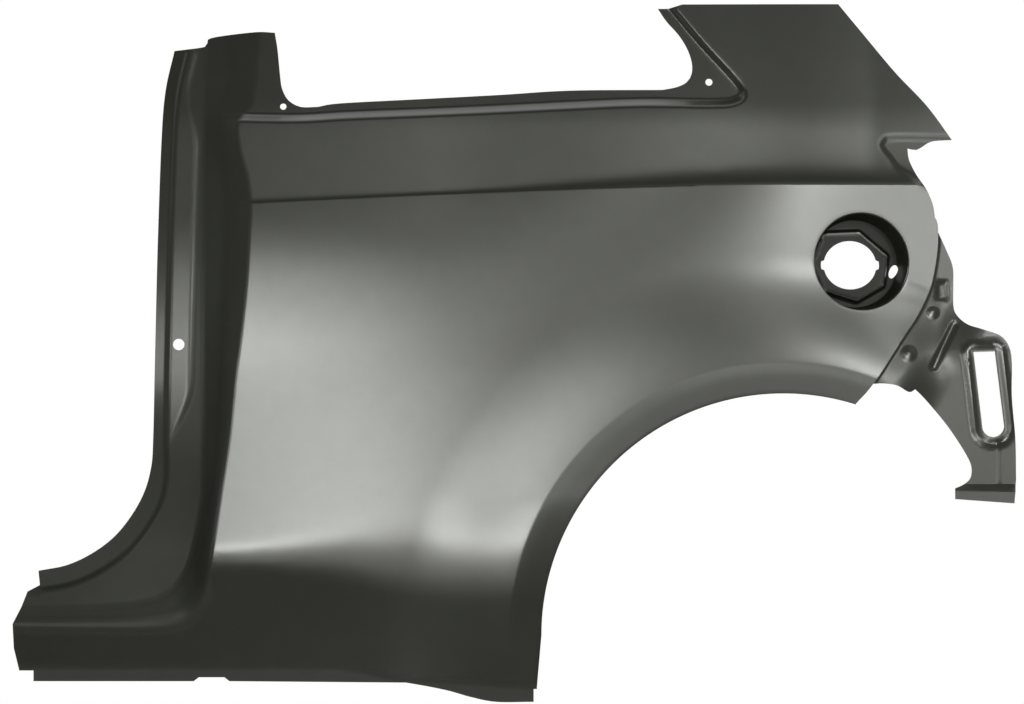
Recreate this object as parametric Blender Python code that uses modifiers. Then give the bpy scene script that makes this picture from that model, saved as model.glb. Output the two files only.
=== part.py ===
"""Rear quarter panel of a small three-door hatchback, left side, as three steel pressings.

x runs to the rear of the car, y runs inboard and z runs up, in metres. The origin is on the
inboard face of the sill's lower weld flange, in the middle of its front tab. Each pressing is
drawn in plan, as a press tool sees it, with its outline, holes and bend lines. The plan is
triangulated, lifted on to the pressed form and given its sheet thickness.
"""
import math

import bmesh
import bpy
import numpy as np
from mathutils import Vector
from mathutils.geometry import delaunay_2d_cdt

# Sheet thicknesses, and the air left between two sheets that are spot-welded together
PANEL_THICKNESS = 0.0008
BOWL_THICKNESS = 0.0008
BRACKET_THICKNESS = 0.0012
WELD_GAP = 0.0004

# Wheel arch: the opening's edge, the turned band round it and the flare outside the band
ARCH_X = 0.938
ARCH_Z = 0.059
ARCH_RADIUS = 0.338
ARCH_BAND_WIDTH = 0.045
ARCH_BAND_DROP = 0.007
ARCH_FLARE_WIDTH = 0.150
ARCH_LIP = 0.014
ARCH_LEG_LEAN = 0.085
ARCH_PLANE_LIFT = 0.004
ARCH_PLANE_SWEEP = 0.35
ARCH_REAR_ANGLE = math.radians(72.6)
ARCH_ROW_END = math.radians(52)

# Side of the body, as distances outboard of the sill flange
BODY_BULGE = 0.106
BULGE_HEIGHT = 0.420
PLAN_SWEEP = 0.038
PLAN_SWEEP_START = 0.180
PLAN_SWEEP_LENGTH = 0.975
REAR_SWEEP = 0.055
REAR_SWEEP_START = 0.350
REAR_SWEEP_LENGTH = 0.805
LOWER_SIDE_CURVE = 0.10
FRONT_SIDE_CURVE = 0.72
REAR_SIDE_CURVE = 0.10
SHOULDER_HEIGHT = 0.689
SHOULDER_FALL = 0.024
SHOULDER_FALL_LENGTH = 0.710
FRONT_LEDGE = 0.0015
REAR_LEDGE = 0.010
FRONT_LEDGE_WIDTH = 0.002
REAR_LEDGE_WIDTH = 0.012
LEDGE_START = 0.45
LEDGE_FULL = 1.00
BELT_HEIGHT = 0.785
SHOULDER_SLOPE = 0.33
PILLAR_SLOPE = 0.44
TUCK_HEIGHT = 0.166
TUCK_RISE = 0.024
FRONT_TUCK_RADIUS = 0.024
REAR_TUCK_RADIUS = 0.075
TUCK_SOFTENS = (0.15, 0.50)

# Weld flanges, door jamb and window rebate
SILL_FLANGE_TOP = 0.0095
SILL_FLANGE_BOTTOM = -0.007
SILL_FLANGE_FALL = 0.0185
REAR_FLANGE_FALL = 0.009
DOOR_FLANGE_WIDTH = 0.018
SILL_DOOR_FLANGE_WIDTH = 0.027
DOOR_FLANGE_STEP = 0.005
DOOR_FLANGE_BEND = 0.0035
DOOR_FLANGE_TILT = 0.006
PAD_REACH = 0.052
PAD_HEAD_REACH = 0.032
PAD_FOOT = (0.300, 0.410)
PAD_HEAD = (0.740, 0.840)
PAD_STEP = 0.003
PAD_EDGE = 0.006
SILL_TOP_SLOPE = 0.022
JAMB_DEPTH = 0.050
JAMB_CREASE = 0.55
JAMB_STEEPNESS = 1.25
JAMB_CREASE_BEND = 0.04
FLANGE_FLAT = 0.0065
PILLAR_FOOT_Z = 0.165
PILLAR_FREE_Z = 0.420
SHUT_BEND = 0.004
FOOT_BEND = 0.005
GLASS_DEPTH = 0.013
GLASS_WALL_WIDTH = 0.010
GLASS_BEND = 0.003
LAMP_POCKET_DEPTH = 0.005
LAMP_WALL_WIDTH = 0.012

# Round holes: centre x and z, then the radius
WINDOW_FRONT_HOLE = (0.2376, 0.7994, 0.0045)
WINDOW_REAR_HOLE = (0.8352, 0.8340, 0.0050)
PILLAR_HOLE = (0.0921, 0.4655, 0.0080)

# Fuel filler hole and the pressed bowl behind it
FILLER_X = 1.0486
FILLER_Z = 0.5817
FILLER_RADIUS = 0.068
FILLER_LIP = 0.005
BOWL_CLEARANCE = 0.003
BOWL_RIM_WIDTH = 0.012
BOWL_DEPTH = 0.042
BOWL_WALL_WIDTH = 0.010
PLATFORM_HEIGHT = 0.007
PLATFORM_WALL = 0.006
# Corners of the raised platform round the neck hole, from the filler axis
PLATFORM = [(-0.0460, 0.0411), (-0.0623, 0.0), (-0.0442, -0.0375), (0.0013, -0.0515),
            (0.0390, -0.0305), (0.0452, 0.0102), (0.0056, 0.0432)]
NECK_CENTRE = (-0.0082, -0.0024)
NECK_HOLE_LENGTH = 0.038
NECK_HOLE_HEIGHT = 0.034
NOTCH_DEPTH = 0.004
DRAIN_CENTRE = (0.0555, -0.0110)
DRAIN_HALF_LENGTH = 0.0100
DRAIN_HALF_WIDTH = 0.0055
DRAIN_TILT = math.radians(25)

# Rear corner bracket
BRACKET_OVERLAP = 0.016
BRACKET_LEVEL = 0.034
BRACKET_LEVEL_X = 1.25
BRACKET_SLOPE = 0.12
BRACKET_LEAN = 0.22
BRACKET_RUN_START = 0.022
BRACKET_RUN_OUT = 0.095
BOSS_HEIGHT = 0.30
SLOT_RIM_HEIGHT = 0.004

# Mesh spacings: along the edges and bend lines, and between the points of the open areas
EDGE_SPACING = 0.022
FIELD_SPACING = 0.034
BOWL_SPACING = 0.016
BRACKET_SPACING = 0.014
SLIVER_AREA = 1e-8
RING_POINTS = 36

# Trimmed edges, as knots (x, z) of smooth curves; two curves meet at a corner
DOOR_EDGE = [(0.083, 0.879), (0.071, 0.822), (0.066, 0.752), (0.062, 0.612), (0.059, 0.465),
             (0.056, 0.339), (0.052, 0.290), (0.038, 0.248), (0.010, 0.206), (-0.022, 0.178),
             (-0.063, 0.157), (-0.106, 0.148)]
SILL_END = [(-0.106, 0.148), (-0.104, 0.128), (-0.121, 0.119), (-0.129, 0.098), (-0.141, 0.074),
            (-0.140, 0.040), (-0.133, 0.008), (-0.113, 0.008), (-0.113, SILL_FLANGE_BOTTOM)]
SILL_FOOT = [(-0.113, SILL_FLANGE_BOTTOM), (0.112, SILL_FLANGE_BOTTOM), (0.119, -0.0015),
             (0.155, -0.0015), (0.162, SILL_FLANGE_BOTTOM), (0.410, -0.009)]
REAR_DROP = [(0.410, -0.009), (0.444, -0.015), (0.472, -0.021), (0.500, -0.029), (0.536, -0.036),
             (0.589, -0.036)]
HEEL_Z = -0.018
REAR_EDGE = [(1.064, 0.411), (1.106, 0.475), (1.128, 0.508), (1.145, 0.544), (1.152, 0.574),
             (1.156, 0.605), (1.156, 0.634), (1.152, 0.644)]
LAMP_EDGE = [(1.152, 0.644), (1.149, 0.662), (1.140, 0.683), (1.126, 0.704), (1.116, 0.725),
             (1.114, 0.741)]
LAMP_TOP = [(1.114, 0.741), (1.127, 0.739), (1.139, 0.746), (1.149, 0.751), (1.177, 0.753)]
TAILGATE_EDGE = [(1.177, 0.753), (1.142, 0.801), (1.098, 0.848), (1.050, 0.906), (1.018, 0.945)]
PILLAR_CUT = [(1.018, 0.945), (0.798, 0.944), (0.779, 0.938), (0.764, 0.938)]
WINDOW_REAR = [(0.764, 0.938), (0.776, 0.920), (0.792, 0.902), (0.804, 0.883), (0.811, 0.863),
               (0.811, 0.846), (0.804, 0.834), (0.790, 0.827), (0.770, 0.823)]
WINDOW_FOOT = [(0.770, 0.823), (0.640, 0.822), (0.542, 0.816), (0.430, 0.810), (0.318, 0.804),
               (0.286, 0.799)]
WINDOW_FRONT = [(0.286, 0.799), (0.262, 0.799), (0.245, 0.808), (0.236, 0.824), (0.233, 0.842),
                (0.229, 0.880), (0.225, 0.904)]
PILLAR_HEAD = [(0.225, 0.904), (0.199, 0.905), (0.150, 0.900), (0.130, 0.895), (0.126, 0.885),
               (0.083, 0.879)]

# Bend lines of the panel, as knots of smooth curves that run past its edges
SHUT_LINE = [(0.203, 0.930), (0.200, 0.864), (0.193, 0.808), (0.182, 0.791), (0.173, 0.774),
             (0.176, 0.743), (0.188, 0.699), (0.192, 0.659), (0.190, 0.612), (0.186, 0.545),
             (0.178, 0.472), (0.171, 0.421), (0.162, 0.335), (0.149, 0.251), (0.136, 0.164),
             (0.126, 0.113), (0.105, 0.083), (0.064, 0.071), (-0.032, 0.071), (-0.158, 0.073)]
JAMB_FOOT = [(0.130, 0.930), (0.126, 0.830), (0.125, 0.668), (0.126, 0.528), (0.127, 0.388),
             (0.126, 0.290), (0.125, 0.253), (0.116, 0.202), (0.106, 0.162), (0.092, 0.136),
             (0.073, 0.116), (0.038, 0.104), (-0.020, 0.098), (-0.158, 0.094)]
GLASS_LINE = [(0.150, 0.781), (0.180, 0.779), (0.260, 0.778), (0.330, 0.782), (0.430, 0.786),
              (0.542, 0.791), (0.640, 0.796), (0.738, 0.800), (0.840, 0.799), (0.872, 0.802),
              (0.886, 0.811), (0.887, 0.822), (0.874, 0.842), (0.828, 0.893), (0.777, 0.955)]
LAMP_LINE = [(1.200, 0.761), (1.096, 0.762), (1.078, 0.757), (1.072, 0.748), (1.075, 0.737),
             (1.086, 0.724), (1.097, 0.709), (1.121, 0.693), (1.160, 0.668)]

# Rear corner bracket: trimmed edge beyond the panel, anticlockwise from the foot
FOOT_TOP = 0.270
FOOT_LIP_TOP = 0.259
FOOT_LIP_FLAT = 0.003
FOOT_LEVEL = 0.050
FOOT_LEFT = 1.179
FOOT_RIGHT = 1.2635
BRACKET_FOOT = [(FOOT_LEFT, 0.264), (FOOT_LEFT, FOOT_LIP_TOP), (FOOT_LEFT, 0.249),
                (1.262, 0.243), (FOOT_RIGHT, FOOT_LIP_TOP), (1.265, 0.276)]
BRACKET_TAIL = [(1.265, 0.276), (1.264, 0.332), (1.259, 0.392), (1.259, 0.440), (1.255, 0.463),
                (1.243, 0.478), (1.218, 0.487), (1.197, 0.494), (1.183, 0.506), (1.178, 0.519),
                (1.178, 0.550), (1.177, 0.575), (1.168, 0.598), (1.157, 0.622)]
BRACKET_ARCH = [(1.064, 0.4105), (1.080, 0.411), (1.098, 0.408), (1.114, 0.399), (1.123, 0.403)]
BRACKET_HEEL = [(1.123, 0.403), (1.138, 0.388), (1.165, 0.356), (1.182, 0.332), (1.195, 0.311),
                (1.202, 0.295), (1.201, 0.279), (1.192, 0.270), (1.179, 0.264)]
BEAD_LINE = [(1.179, 0.493), (1.149, 0.434)]
BEAD_HALF_WIDTH = 0.008
BEAD_DEPTH = 0.004
BOSSES = [(1.149, 0.5100, 0.0100), (1.1137, 0.4525, 0.0120)]
SLOT_TOP_LEFT = (1.205, 0.455)
SLOT_TOP_RIGHT = (1.235, 0.456)
SLOT_END = (1.2327, 0.3514)
SLOT_END_RADIUS = 0.0154
SLOT_RIM_DISTANCE = 0.010
SLOT_RIM_WIDTH = 0.008
POCKET_LOW = (1.152, 0.526)
POCKET_HIGH = (1.171, 0.556)
POCKET_DEPTH = 0.004

# Primer on each pressing: colour and roughness
DARK_PRIMER = ((0.028, 0.030, 0.029), 0.34)
BOWL_PRIMER = ((0.018, 0.020, 0.018), 0.20)
BRACKET_PRIMER = ((0.045, 0.046, 0.043), 0.38)


def smooth_run(knots, spacing):
    """Points along a Catmull-Rom curve through the knots, about one spacing apart."""
    knots = np.asarray(knots, dtype=float)
    padded = np.vstack([2 * knots[0] - knots[1], knots, 2 * knots[-1] - knots[-2]])
    run = []
    for p0, p1, p2, p3 in zip(padded, padded[1:], padded[2:], padded[3:]):
        steps = max(1, round(np.linalg.norm(p2 - p1) / spacing))
        for t in np.arange(steps) / steps:
            run.append(0.5 * (2 * p1 + (p2 - p0) * t + (2 * p0 - 5 * p1 + 4 * p2 - p3) * t ** 2
                              + (3 * p1 - p0 - 3 * p2 + p3) * t ** 3))
    run.append(knots[-1])
    return np.array(run)


def straight_run(knots, spacing):
    """Points along straight lines between the knots, about one spacing apart."""
    knots = np.asarray(knots, dtype=float)
    run = [knots[:1]]
    for start, end in zip(knots, knots[1:]):
        steps = max(1, round(np.linalg.norm(end - start) / spacing))
        run.append(start + (end - start) * np.arange(1, steps + 1)[:, None] / steps)
    return np.vstack(run)


def closed_loop(runs):
    """One closed loop from runs that share their end points."""
    return np.vstack([run[:-1] for run in runs])


def closed_row(loop):
    """A closed loop as a row that ends where it starts."""
    return np.vstack([loop, loop[:1]])


def ring(centre, radius, count):
    """A circle of points in plan."""
    angles = np.arange(count) * 2 * math.pi / count
    return np.column_stack([centre[0] + radius * np.cos(angles),
                            centre[1] + radius * np.sin(angles)])


def line_distance(points, line):
    """Distance of each point from a polyline, positive on the line's left side."""
    starts, ends = line[:-1], line[1:]
    spans = ends - starts
    lengths = np.linalg.norm(spans, axis=1)
    best = np.full(len(points), np.inf)
    side = np.ones(len(points))
    for start, span, length in zip(starts, spans, lengths):
        offset = points - start
        along = np.clip(offset @ span / length ** 2, 0.0, 1.0)
        gap = np.linalg.norm(offset - along[:, None] * span, axis=1)
        cross = span[0] * offset[:, 1] - span[1] * offset[:, 0]
        closer = gap < best - 1e-9
        best = np.where(closer, gap, best)
        side = np.where(closer, np.sign(cross), side)
    return best * side


def offset_line(line, distance):
    """A polyline moved sideways to its left, with loops at tight bends left out."""
    spans = np.gradient(line, axis=0)
    spans /= np.linalg.norm(spans, axis=1)[:, None]
    distance = np.broadcast_to(distance, len(line))
    moved = line + distance[:, None] * np.column_stack([-spans[:, 1], spans[:, 0]])
    clear = np.abs(line_distance(moved, line)) > 0.97 * np.abs(distance)
    return moved[clear]


def between_lines(first, second, share):
    """A row a share of the way from one polyline to another, matched along their lengths."""
    steps = np.linspace(0.0, 1.0, len(first))
    matched = []
    for line in (first, second):
        along = np.append(0.0, np.cumsum(np.linalg.norm(np.diff(line, axis=0), axis=1)))
        matched.append(np.column_stack([np.interp(steps, along / along[-1], line[:, axis])
                                        for axis in (0, 1)]))
    return matched[0] + share * (matched[1] - matched[0])


def soft_ramp(value, radius):
    """Zero below nought and the value above it, with a parabola over the radius either side."""
    return np.where(value > radius, value,
                    np.where(value < -radius, 0.0, (value + radius) ** 2 / (4 * radius)))


def soft_step(value, start, end):
    """A smooth step from nought at the start to one at the end."""
    t = np.clip((value - start) / (end - start), 0.0, 1.0)
    return t * t * (3 - 2 * t)


def arch_distance(x, z):
    """Distance from the wheel arch's axis, with the leg below the axis leaning forward."""
    below = np.minimum(z - ARCH_Z, 0.0)
    return np.hypot(x - ARCH_X - ARCH_LEG_LEAN * below, np.maximum(z - ARCH_Z, 0.0))


def arch_row(extra, start_angle, end_angle, spacing=EDGE_SPACING):
    """Points round the wheel arch, at a distance outside its edge."""
    radius = ARCH_RADIUS + extra
    count = max(2, round(radius * abs(end_angle - start_angle) / spacing))
    angles = np.linspace(start_angle, end_angle, count + 1)
    return np.column_stack([ARCH_X + radius * np.cos(angles), ARCH_Z + radius * np.sin(angles)])


def arch_leg_x(z, extra=0.0):
    """Where the arch's front leg lies at a height below the axis."""
    return ARCH_X - ARCH_RADIUS - extra + ARCH_LEG_LEAN * (z - ARCH_Z)


def shoulder_z(x):
    """Height of the shoulder crease, which rises to the rear."""
    ahead = np.maximum(ARCH_X - x, 0.0) / SHOULDER_FALL_LENGTH
    return SHOULDER_HEIGHT - SHOULDER_FALL * ahead ** 1.5


def flange_top_z(x):
    """Height where the sill's lower flange bends into the tucked-under face."""
    return (SILL_FLANGE_TOP - SILL_FLANGE_FALL * soft_step(x, 0.30, 0.43)
            - REAR_FLANGE_FALL * soft_step(x, 0.44, 0.59))


def door_flange_width(z):
    """Width of the door aperture's weld flange, which is wider along the sill."""
    return SILL_DOOR_FLANGE_WIDTH + (DOOR_FLANGE_WIDTH - SILL_DOOR_FLANGE_WIDTH) * soft_step(
        z, 0.23, 0.34)


def pad_reach(z):
    """How far the pillar's flat pad reaches from the door edge."""
    width = door_flange_width(z)
    full = PAD_REACH + (PAD_HEAD_REACH - PAD_REACH) * soft_step(z, *PAD_HEAD)
    return width + (full - width) * soft_step(z, *PAD_FOOT)


def jamb_share(share):
    """The jamb's rise from its foot to the shut line, with a crease between two slopes."""
    upper = (1 - JAMB_STEEPNESS * JAMB_CREASE) / (1 - JAMB_CREASE)
    return JAMB_STEEPNESS * share - (JAMB_STEEPNESS - upper) * soft_ramp(
        share - JAMB_CREASE, JAMB_CREASE_BEND)


def side_offset(x, z):
    """How far the body side lies outboard, below the shoulder crease, before the sill's tuck."""
    sweep = (PLAN_SWEEP * (np.maximum(x - PLAN_SWEEP_START, 0.0) / PLAN_SWEEP_LENGTH) ** 2
             + REAR_SWEEP * (np.maximum(x - REAR_SWEEP_START, 0.0) / REAR_SWEEP_LENGTH) ** 2.8)
    upper_curve = FRONT_SIDE_CURVE + (REAR_SIDE_CURVE - FRONT_SIDE_CURVE) * soft_step(
        x, LEDGE_START, LEDGE_FULL)
    rise = z - BULGE_HEIGHT
    body = BODY_BULGE - np.where(rise > 0, upper_curve, LOWER_SIDE_CURVE) * rise ** 2 - sweep
    arch_plane = BODY_BULGE + ARCH_PLANE_LIFT - ARCH_PLANE_SWEEP * sweep
    reach = arch_distance(x, z) - ARCH_RADIUS - ARCH_BAND_WIDTH
    flare = 1.0 - soft_step(reach, -0.02, ARCH_FLARE_WIDTH)
    return body + (arch_plane - body) * flare


def tuck_line(x):
    """Height and rounding radius of the line where the side tucks under to the sill."""
    softness = soft_step(x, *TUCK_SOFTENS)
    return (TUCK_HEIGHT + TUCK_RISE * x,
            FRONT_TUCK_RADIUS + (REAR_TUCK_RADIUS - FRONT_TUCK_RADIUS) * softness)


def skin_offset(x, z):
    """How far the outer skin lies outboard, over the whole panel."""
    crease = shoulder_z(x)
    lower = side_offset(x, np.minimum(z, crease))
    tuck_z, tuck_radius = tuck_line(x)
    tuck = soft_ramp(tuck_z - z, tuck_radius) / (tuck_z - flange_top_z(x))
    tuck = 1.0 - soft_ramp(1.0 - tuck, 0.02)
    band = soft_ramp(ARCH_RADIUS + ARCH_BAND_WIDTH - arch_distance(x, z), 0.002)
    lower = lower - ARCH_BAND_DROP * band / ARCH_BAND_WIDTH
    lower = lower + (PANEL_THICKNESS - lower) * tuck
    above = np.maximum(z - crease, 0.0)
    growth = soft_step(x, LEDGE_START, LEDGE_FULL)
    ledge = FRONT_LEDGE + (REAR_LEDGE - FRONT_LEDGE) * growth
    ledge_width = FRONT_LEDGE_WIDTH + (REAR_LEDGE_WIDTH - FRONT_LEDGE_WIDTH) * growth
    shoulder = (ledge * (1 - np.exp(-above / ledge_width)) + SHOULDER_SLOPE * above
                + (PILLAR_SLOPE - SHOULDER_SLOPE) * soft_ramp(z - BELT_HEIGHT, 0.02))
    return lower - np.where(z > crease, shoulder, 0.0)


def bend_lines(spacing):
    """The panel's bend lines as polylines, by name."""
    return {"shut": smooth_run(SHUT_LINE, spacing), "foot": smooth_run(JAMB_FOOT, spacing),
            "glass": smooth_run(GLASS_LINE, spacing), "lamp": smooth_run(LAMP_LINE, spacing),
            "door": smooth_run(DOOR_EDGE, spacing)}


def panel_offset(points, lines):
    """How far the panel's outer face lies outboard at each plan point."""
    x, z = points[:, 0], points[:, 1]
    skin = skin_offset(x, z)
    glass = line_distance(points, lines["glass"])
    wall = soft_ramp(glass, GLASS_BEND) - soft_ramp(glass - GLASS_WALL_WIDTH, GLASS_BEND)
    upper = skin - GLASS_DEPTH * wall / GLASS_WALL_WIDTH
    lamp = line_distance(points, lines["lamp"])
    upper = upper - LAMP_POCKET_DEPTH * soft_step(lamp, 0.0, LAMP_WALL_WIDTH)
    from_foot = line_distance(points, lines["foot"])
    in_jamb = soft_ramp(-line_distance(points, lines["shut"]), SHUT_BEND)
    on_wall = soft_ramp(from_foot, FOOT_BEND)
    jamb = jamb_share(in_jamb / np.maximum(in_jamb + on_wall, 1e-6))
    edge = np.abs(line_distance(points, lines["door"]))
    width = door_flange_width(z)
    past_flange = soft_step(edge, width - DOOR_FLANGE_BEND, width + DOOR_FLANGE_BEND)
    pillar = soft_step(z, PILLAR_FOOT_Z, PILLAR_FREE_Z)
    pillar_x = np.full_like(x, SHUT_LINE[-1][0])
    pillar_skin = skin_offset(pillar_x, np.maximum(z, PILLAR_FREE_Z)) + FRONT_LEDGE * (
        1 - np.exp(-np.maximum(z - shoulder_z(pillar_x), 0.0) / FRONT_LEDGE_WIDTH))
    pillar_level = pillar_skin - JAMB_DEPTH - DOOR_FLANGE_STEP
    tilt = DOOR_FLANGE_TILT * (1 - np.minimum(edge / width, 1.0))
    flange_level = PANEL_THICKNESS + (pillar_level - tilt - PANEL_THICKNESS) * pillar
    reach = pad_reach(z)
    past_pad = soft_step(edge, reach - 0.5 * PAD_EDGE, reach + 0.5 * PAD_EDGE)
    across = edge / np.maximum(edge + np.maximum(-from_foot, 0.0), 1e-6)
    sill_slope = SILL_TOP_SLOPE * across * (1 - pillar)
    shelf = (flange_level + (DOOR_FLANGE_STEP * pillar + sill_slope) * past_flange
             - PAD_STEP * past_pad * soft_step(z, *PAD_FOOT))
    return upper + (shelf - upper) * jamb


def inside_loop(points, loop):
    """Whether each point lies inside a closed loop."""
    inside = np.zeros(len(points), dtype=bool)
    for start, end in zip(loop, np.roll(loop, -1, axis=0)):
        spans_row = (start[1] > points[:, 1]) != (end[1] > points[:, 1])
        rise = end[1] - start[1] if end[1] != start[1] else 1e-12
        crossing = start[0] + (points[:, 1] - start[1]) * (end[0] - start[0]) / rise
        inside ^= spans_row & (points[:, 0] < crossing)
    return inside


def plan_mesh(outline, holes, rows, spacing):
    """Triangulate a plan: its outline and holes, bend rows, and a lattice in the open areas."""
    kept_rows = [row[inside_loop(row, outline)] for row in rows]
    low, high = outline.min(axis=0), outline.max(axis=0)
    lattice = np.array([(x, z) for x in np.arange(low[0], high[0], spacing)
                        for z in np.arange(low[1], high[1], spacing)])
    free = inside_loop(lattice, outline)
    for line in [*kept_rows, closed_row(outline)]:
        if len(line) > 1:
            free &= np.abs(line_distance(lattice, line)) > 0.55 * spacing
    for hole in holes:
        free &= ~inside_loop(lattice, hole)
        free &= np.abs(line_distance(lattice, closed_row(hole))) > 0.4 * spacing
    points, edges = [], []
    for loop in [outline, *holes]:
        first, count = len(points), len(loop)
        points.extend(loop)
        edges.extend((first + i, first + (i + 1) % count) for i in range(count))
    for row in kept_rows:
        first = len(points)
        points.extend(row)
        edges.extend((first + i, first + i + 1) for i in range(len(row) - 1)
                     if np.linalg.norm(row[i + 1] - row[i]) < 2.5 * EDGE_SPACING)
    points.extend(lattice[free])
    result = delaunay_2d_cdt([Vector(p) for p in points], edges, [], 0, 0.0008)
    plan = np.array([tuple(v) for v in result[0]])
    triangles = np.array(result[2])
    centres = plan[triangles].mean(axis=1)
    keep = inside_loop(centres, outline)
    for hole in holes:
        keep &= ~inside_loop(centres, hole)
    first_side = plan[triangles[:, 1]] - plan[triangles[:, 0]]
    second_side = plan[triangles[:, 2]] - plan[triangles[:, 0]]
    doubled = first_side[:, 0] * second_side[:, 1] - first_side[:, 1] * second_side[:, 0]
    keep &= np.abs(doubled) > SLIVER_AREA
    return plan, triangles[keep]


def face_outboard(bm):
    """Give all faces one winding, with the pressing's outer side facing outboard."""
    bmesh.ops.recalc_face_normals(bm, faces=bm.faces)
    if sum(face.normal.y * face.calc_area() for face in bm.faces) > 0:
        bmesh.ops.reverse_faces(bm, faces=bm.faces)


def pressing(name, collection, material, triangles, places, thickness):
    """A pressed sheet: a lifted plan with the thickness added on its inboard side."""
    bm = bmesh.new()
    verts = {index: bm.verts.new(places[index]) for index in sorted(set(triangles.ravel()))}
    for corners in triangles:
        bm.faces.new([verts[index] for index in corners])
    face_outboard(bm)
    mesh = bpy.data.meshes.new(name)
    bm.to_mesh(mesh)
    bm.free()
    mesh.materials.append(material)
    sheet = bpy.data.objects.new(name, mesh)
    collection.objects.link(sheet)
    solidify = sheet.modifiers.new("Sheet thickness", "SOLIDIFY")
    solidify.thickness = thickness
    solidify.offset = -1.0
    solidify.use_even_offset = True
    solidify.use_quality_normals = True
    return sheet


def turn_lip(sheet, chosen, step):
    """Turn in a lip along the open edges whose ends are both chosen."""
    bm = bmesh.new()
    bm.from_mesh(sheet.data)
    edges = [edge for edge in bm.edges
             if edge.is_boundary and all(chosen(vert.co) for vert in edge.verts)]
    for element in bmesh.ops.extrude_edge_only(bm, edges=edges)["geom"]:
        if isinstance(element, bmesh.types.BMVert):
            element.co += step
    face_outboard(bm)
    bm.to_mesh(sheet.data)
    bm.free()


def panel_outline():
    """The panel's trimmed edge, anticlockwise as seen from outside the car."""
    leg = straight_run([(arch_leg_x(HEEL_Z), HEEL_Z), (arch_leg_x(ARCH_Z), ARCH_Z)], EDGE_SPACING)
    arch = arch_row(0.0, math.pi, ARCH_REAR_ANGLE)
    heel = straight_run([REAR_DROP[-1], (REAR_DROP[-1][0], HEEL_Z), tuple(leg[0])], EDGE_SPACING)
    rear = smooth_run([tuple(arch[-1])] + REAR_EDGE, EDGE_SPACING)
    curves = [smooth_run(DOOR_EDGE, EDGE_SPACING), straight_run(SILL_END, EDGE_SPACING),
              straight_run(SILL_FOOT, EDGE_SPACING), smooth_run(REAR_DROP, EDGE_SPACING),
              heel, leg, arch, rear]
    curves += [smooth_run(LAMP_EDGE, EDGE_SPACING), smooth_run(LAMP_TOP, EDGE_SPACING),
               smooth_run(TAILGATE_EDGE, EDGE_SPACING), straight_run(PILLAR_CUT, EDGE_SPACING),
               smooth_run(WINDOW_REAR, EDGE_SPACING), smooth_run(WINDOW_FOOT, EDGE_SPACING),
               smooth_run(WINDOW_FRONT, EDGE_SPACING), smooth_run(PILLAR_HEAD, EDGE_SPACING)]
    return closed_loop(curves)


def panel_rows(lines):
    """Bend rows of the panel, each a polyline in plan."""
    bends = {"shut": (-SHUT_BEND, SHUT_BEND), "foot": (-FOOT_BEND, FOOT_BEND),
             "glass": (-GLASS_BEND, GLASS_BEND, GLASS_WALL_WIDTH - GLASS_BEND,
                       GLASS_WALL_WIDTH + GLASS_BEND),
             "lamp": (0.0, LAMP_WALL_WIDTH)}
    rows = [offset_line(lines[name], distance)
            for name, distances in bends.items() for distance in distances]
    width = door_flange_width(lines["door"][:, 1])
    rows += [offset_line(lines["door"], width - DOOR_FLANGE_BEND),
             offset_line(lines["door"], width + DOOR_FLANGE_BEND)]
    pillar = lines["door"][lines["door"][:, 1] > 0.5 * sum(PAD_FOOT)]
    reach = pad_reach(pillar[:, 1])
    rows += [offset_line(pillar, reach + share * PAD_EDGE) for share in (-0.5, 0.5)]
    rows.append(between_lines(lines["foot"], lines["shut"], JAMB_CREASE))
    low, high = SILL_END[4][0], TAILGATE_EDGE[0][0]
    xs = np.arange(low, high, EDGE_SPACING)
    crease = shoulder_z(xs)
    rows += [np.column_stack([xs, crease + rise])
             for rise in (0.0, 0.6 * REAR_LEDGE_WIDTH, 1.7 * REAR_LEDGE_WIDTH)]
    xs = xs[xs < ARCH_X - ARCH_RADIUS - ARCH_BAND_WIDTH]
    height, radius = tuck_line(xs)
    rows += [np.column_stack([xs, height + share * radius]) for share in (-1.0, 0.0, 1.0)]
    xs = np.arange(low, ARCH_X - ARCH_RADIUS, EDGE_SPACING)
    rows.append(np.column_stack([xs, flange_top_z(xs)]))
    xs = xs[xs < SILL_FOOT[-1][0]]
    rows.append(np.column_stack([xs, flange_top_z(xs) - FLANGE_FLAT]))
    band = ARCH_BAND_WIDTH
    for extra in (0.002, 0.5 * band, band - 0.002, band + 0.002):
        legs = [(arch_leg_x(z, extra), z) for z in (HEEL_Z, 0.5 * (HEEL_Z + ARCH_Z))]
        rows.append(np.vstack([legs, arch_row(extra, math.pi, ARCH_ROW_END)]))
    rows += [arch_row(band + share * ARCH_FLARE_WIDTH, math.pi, ARCH_ROW_END)
             for share in (0.2, 0.43, 0.7, 1.0)]
    return rows


def filler_frame(lines):
    """Centre of the filler hole on the skin, and its plane's two directions and inboard axis."""
    step = 0.02
    stencil = np.array([(FILLER_X, FILLER_Z), (FILLER_X + step, FILLER_Z),
                        (FILLER_X - step, FILLER_Z), (FILLER_X, FILLER_Z + step),
                        (FILLER_X, FILLER_Z - step)])
    out = panel_offset(stencil, lines)
    centre = Vector((FILLER_X, -out[0], FILLER_Z))
    across = Vector((2 * step, out[2] - out[1], 0)).normalized()
    rise = Vector((0, out[4] - out[3], 2 * step))
    inboard = rise.cross(across).normalized()
    if inboard.y < 0:
        inboard = -inboard
    rise = across.cross(inboard).normalized()
    if rise.z < 0:
        rise = -rise
    return centre, across, rise, inboard


def filler_ring(frame, radius):
    """A circle round the filler axis, seen in plan."""
    centre, across, rise, _ = frame
    spots = [centre + u * across + v * rise
             for u, v in ring((0, 0), radius, RING_POINTS).tolist()]
    return np.array([(spot.x, spot.z) for spot in spots])


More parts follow.
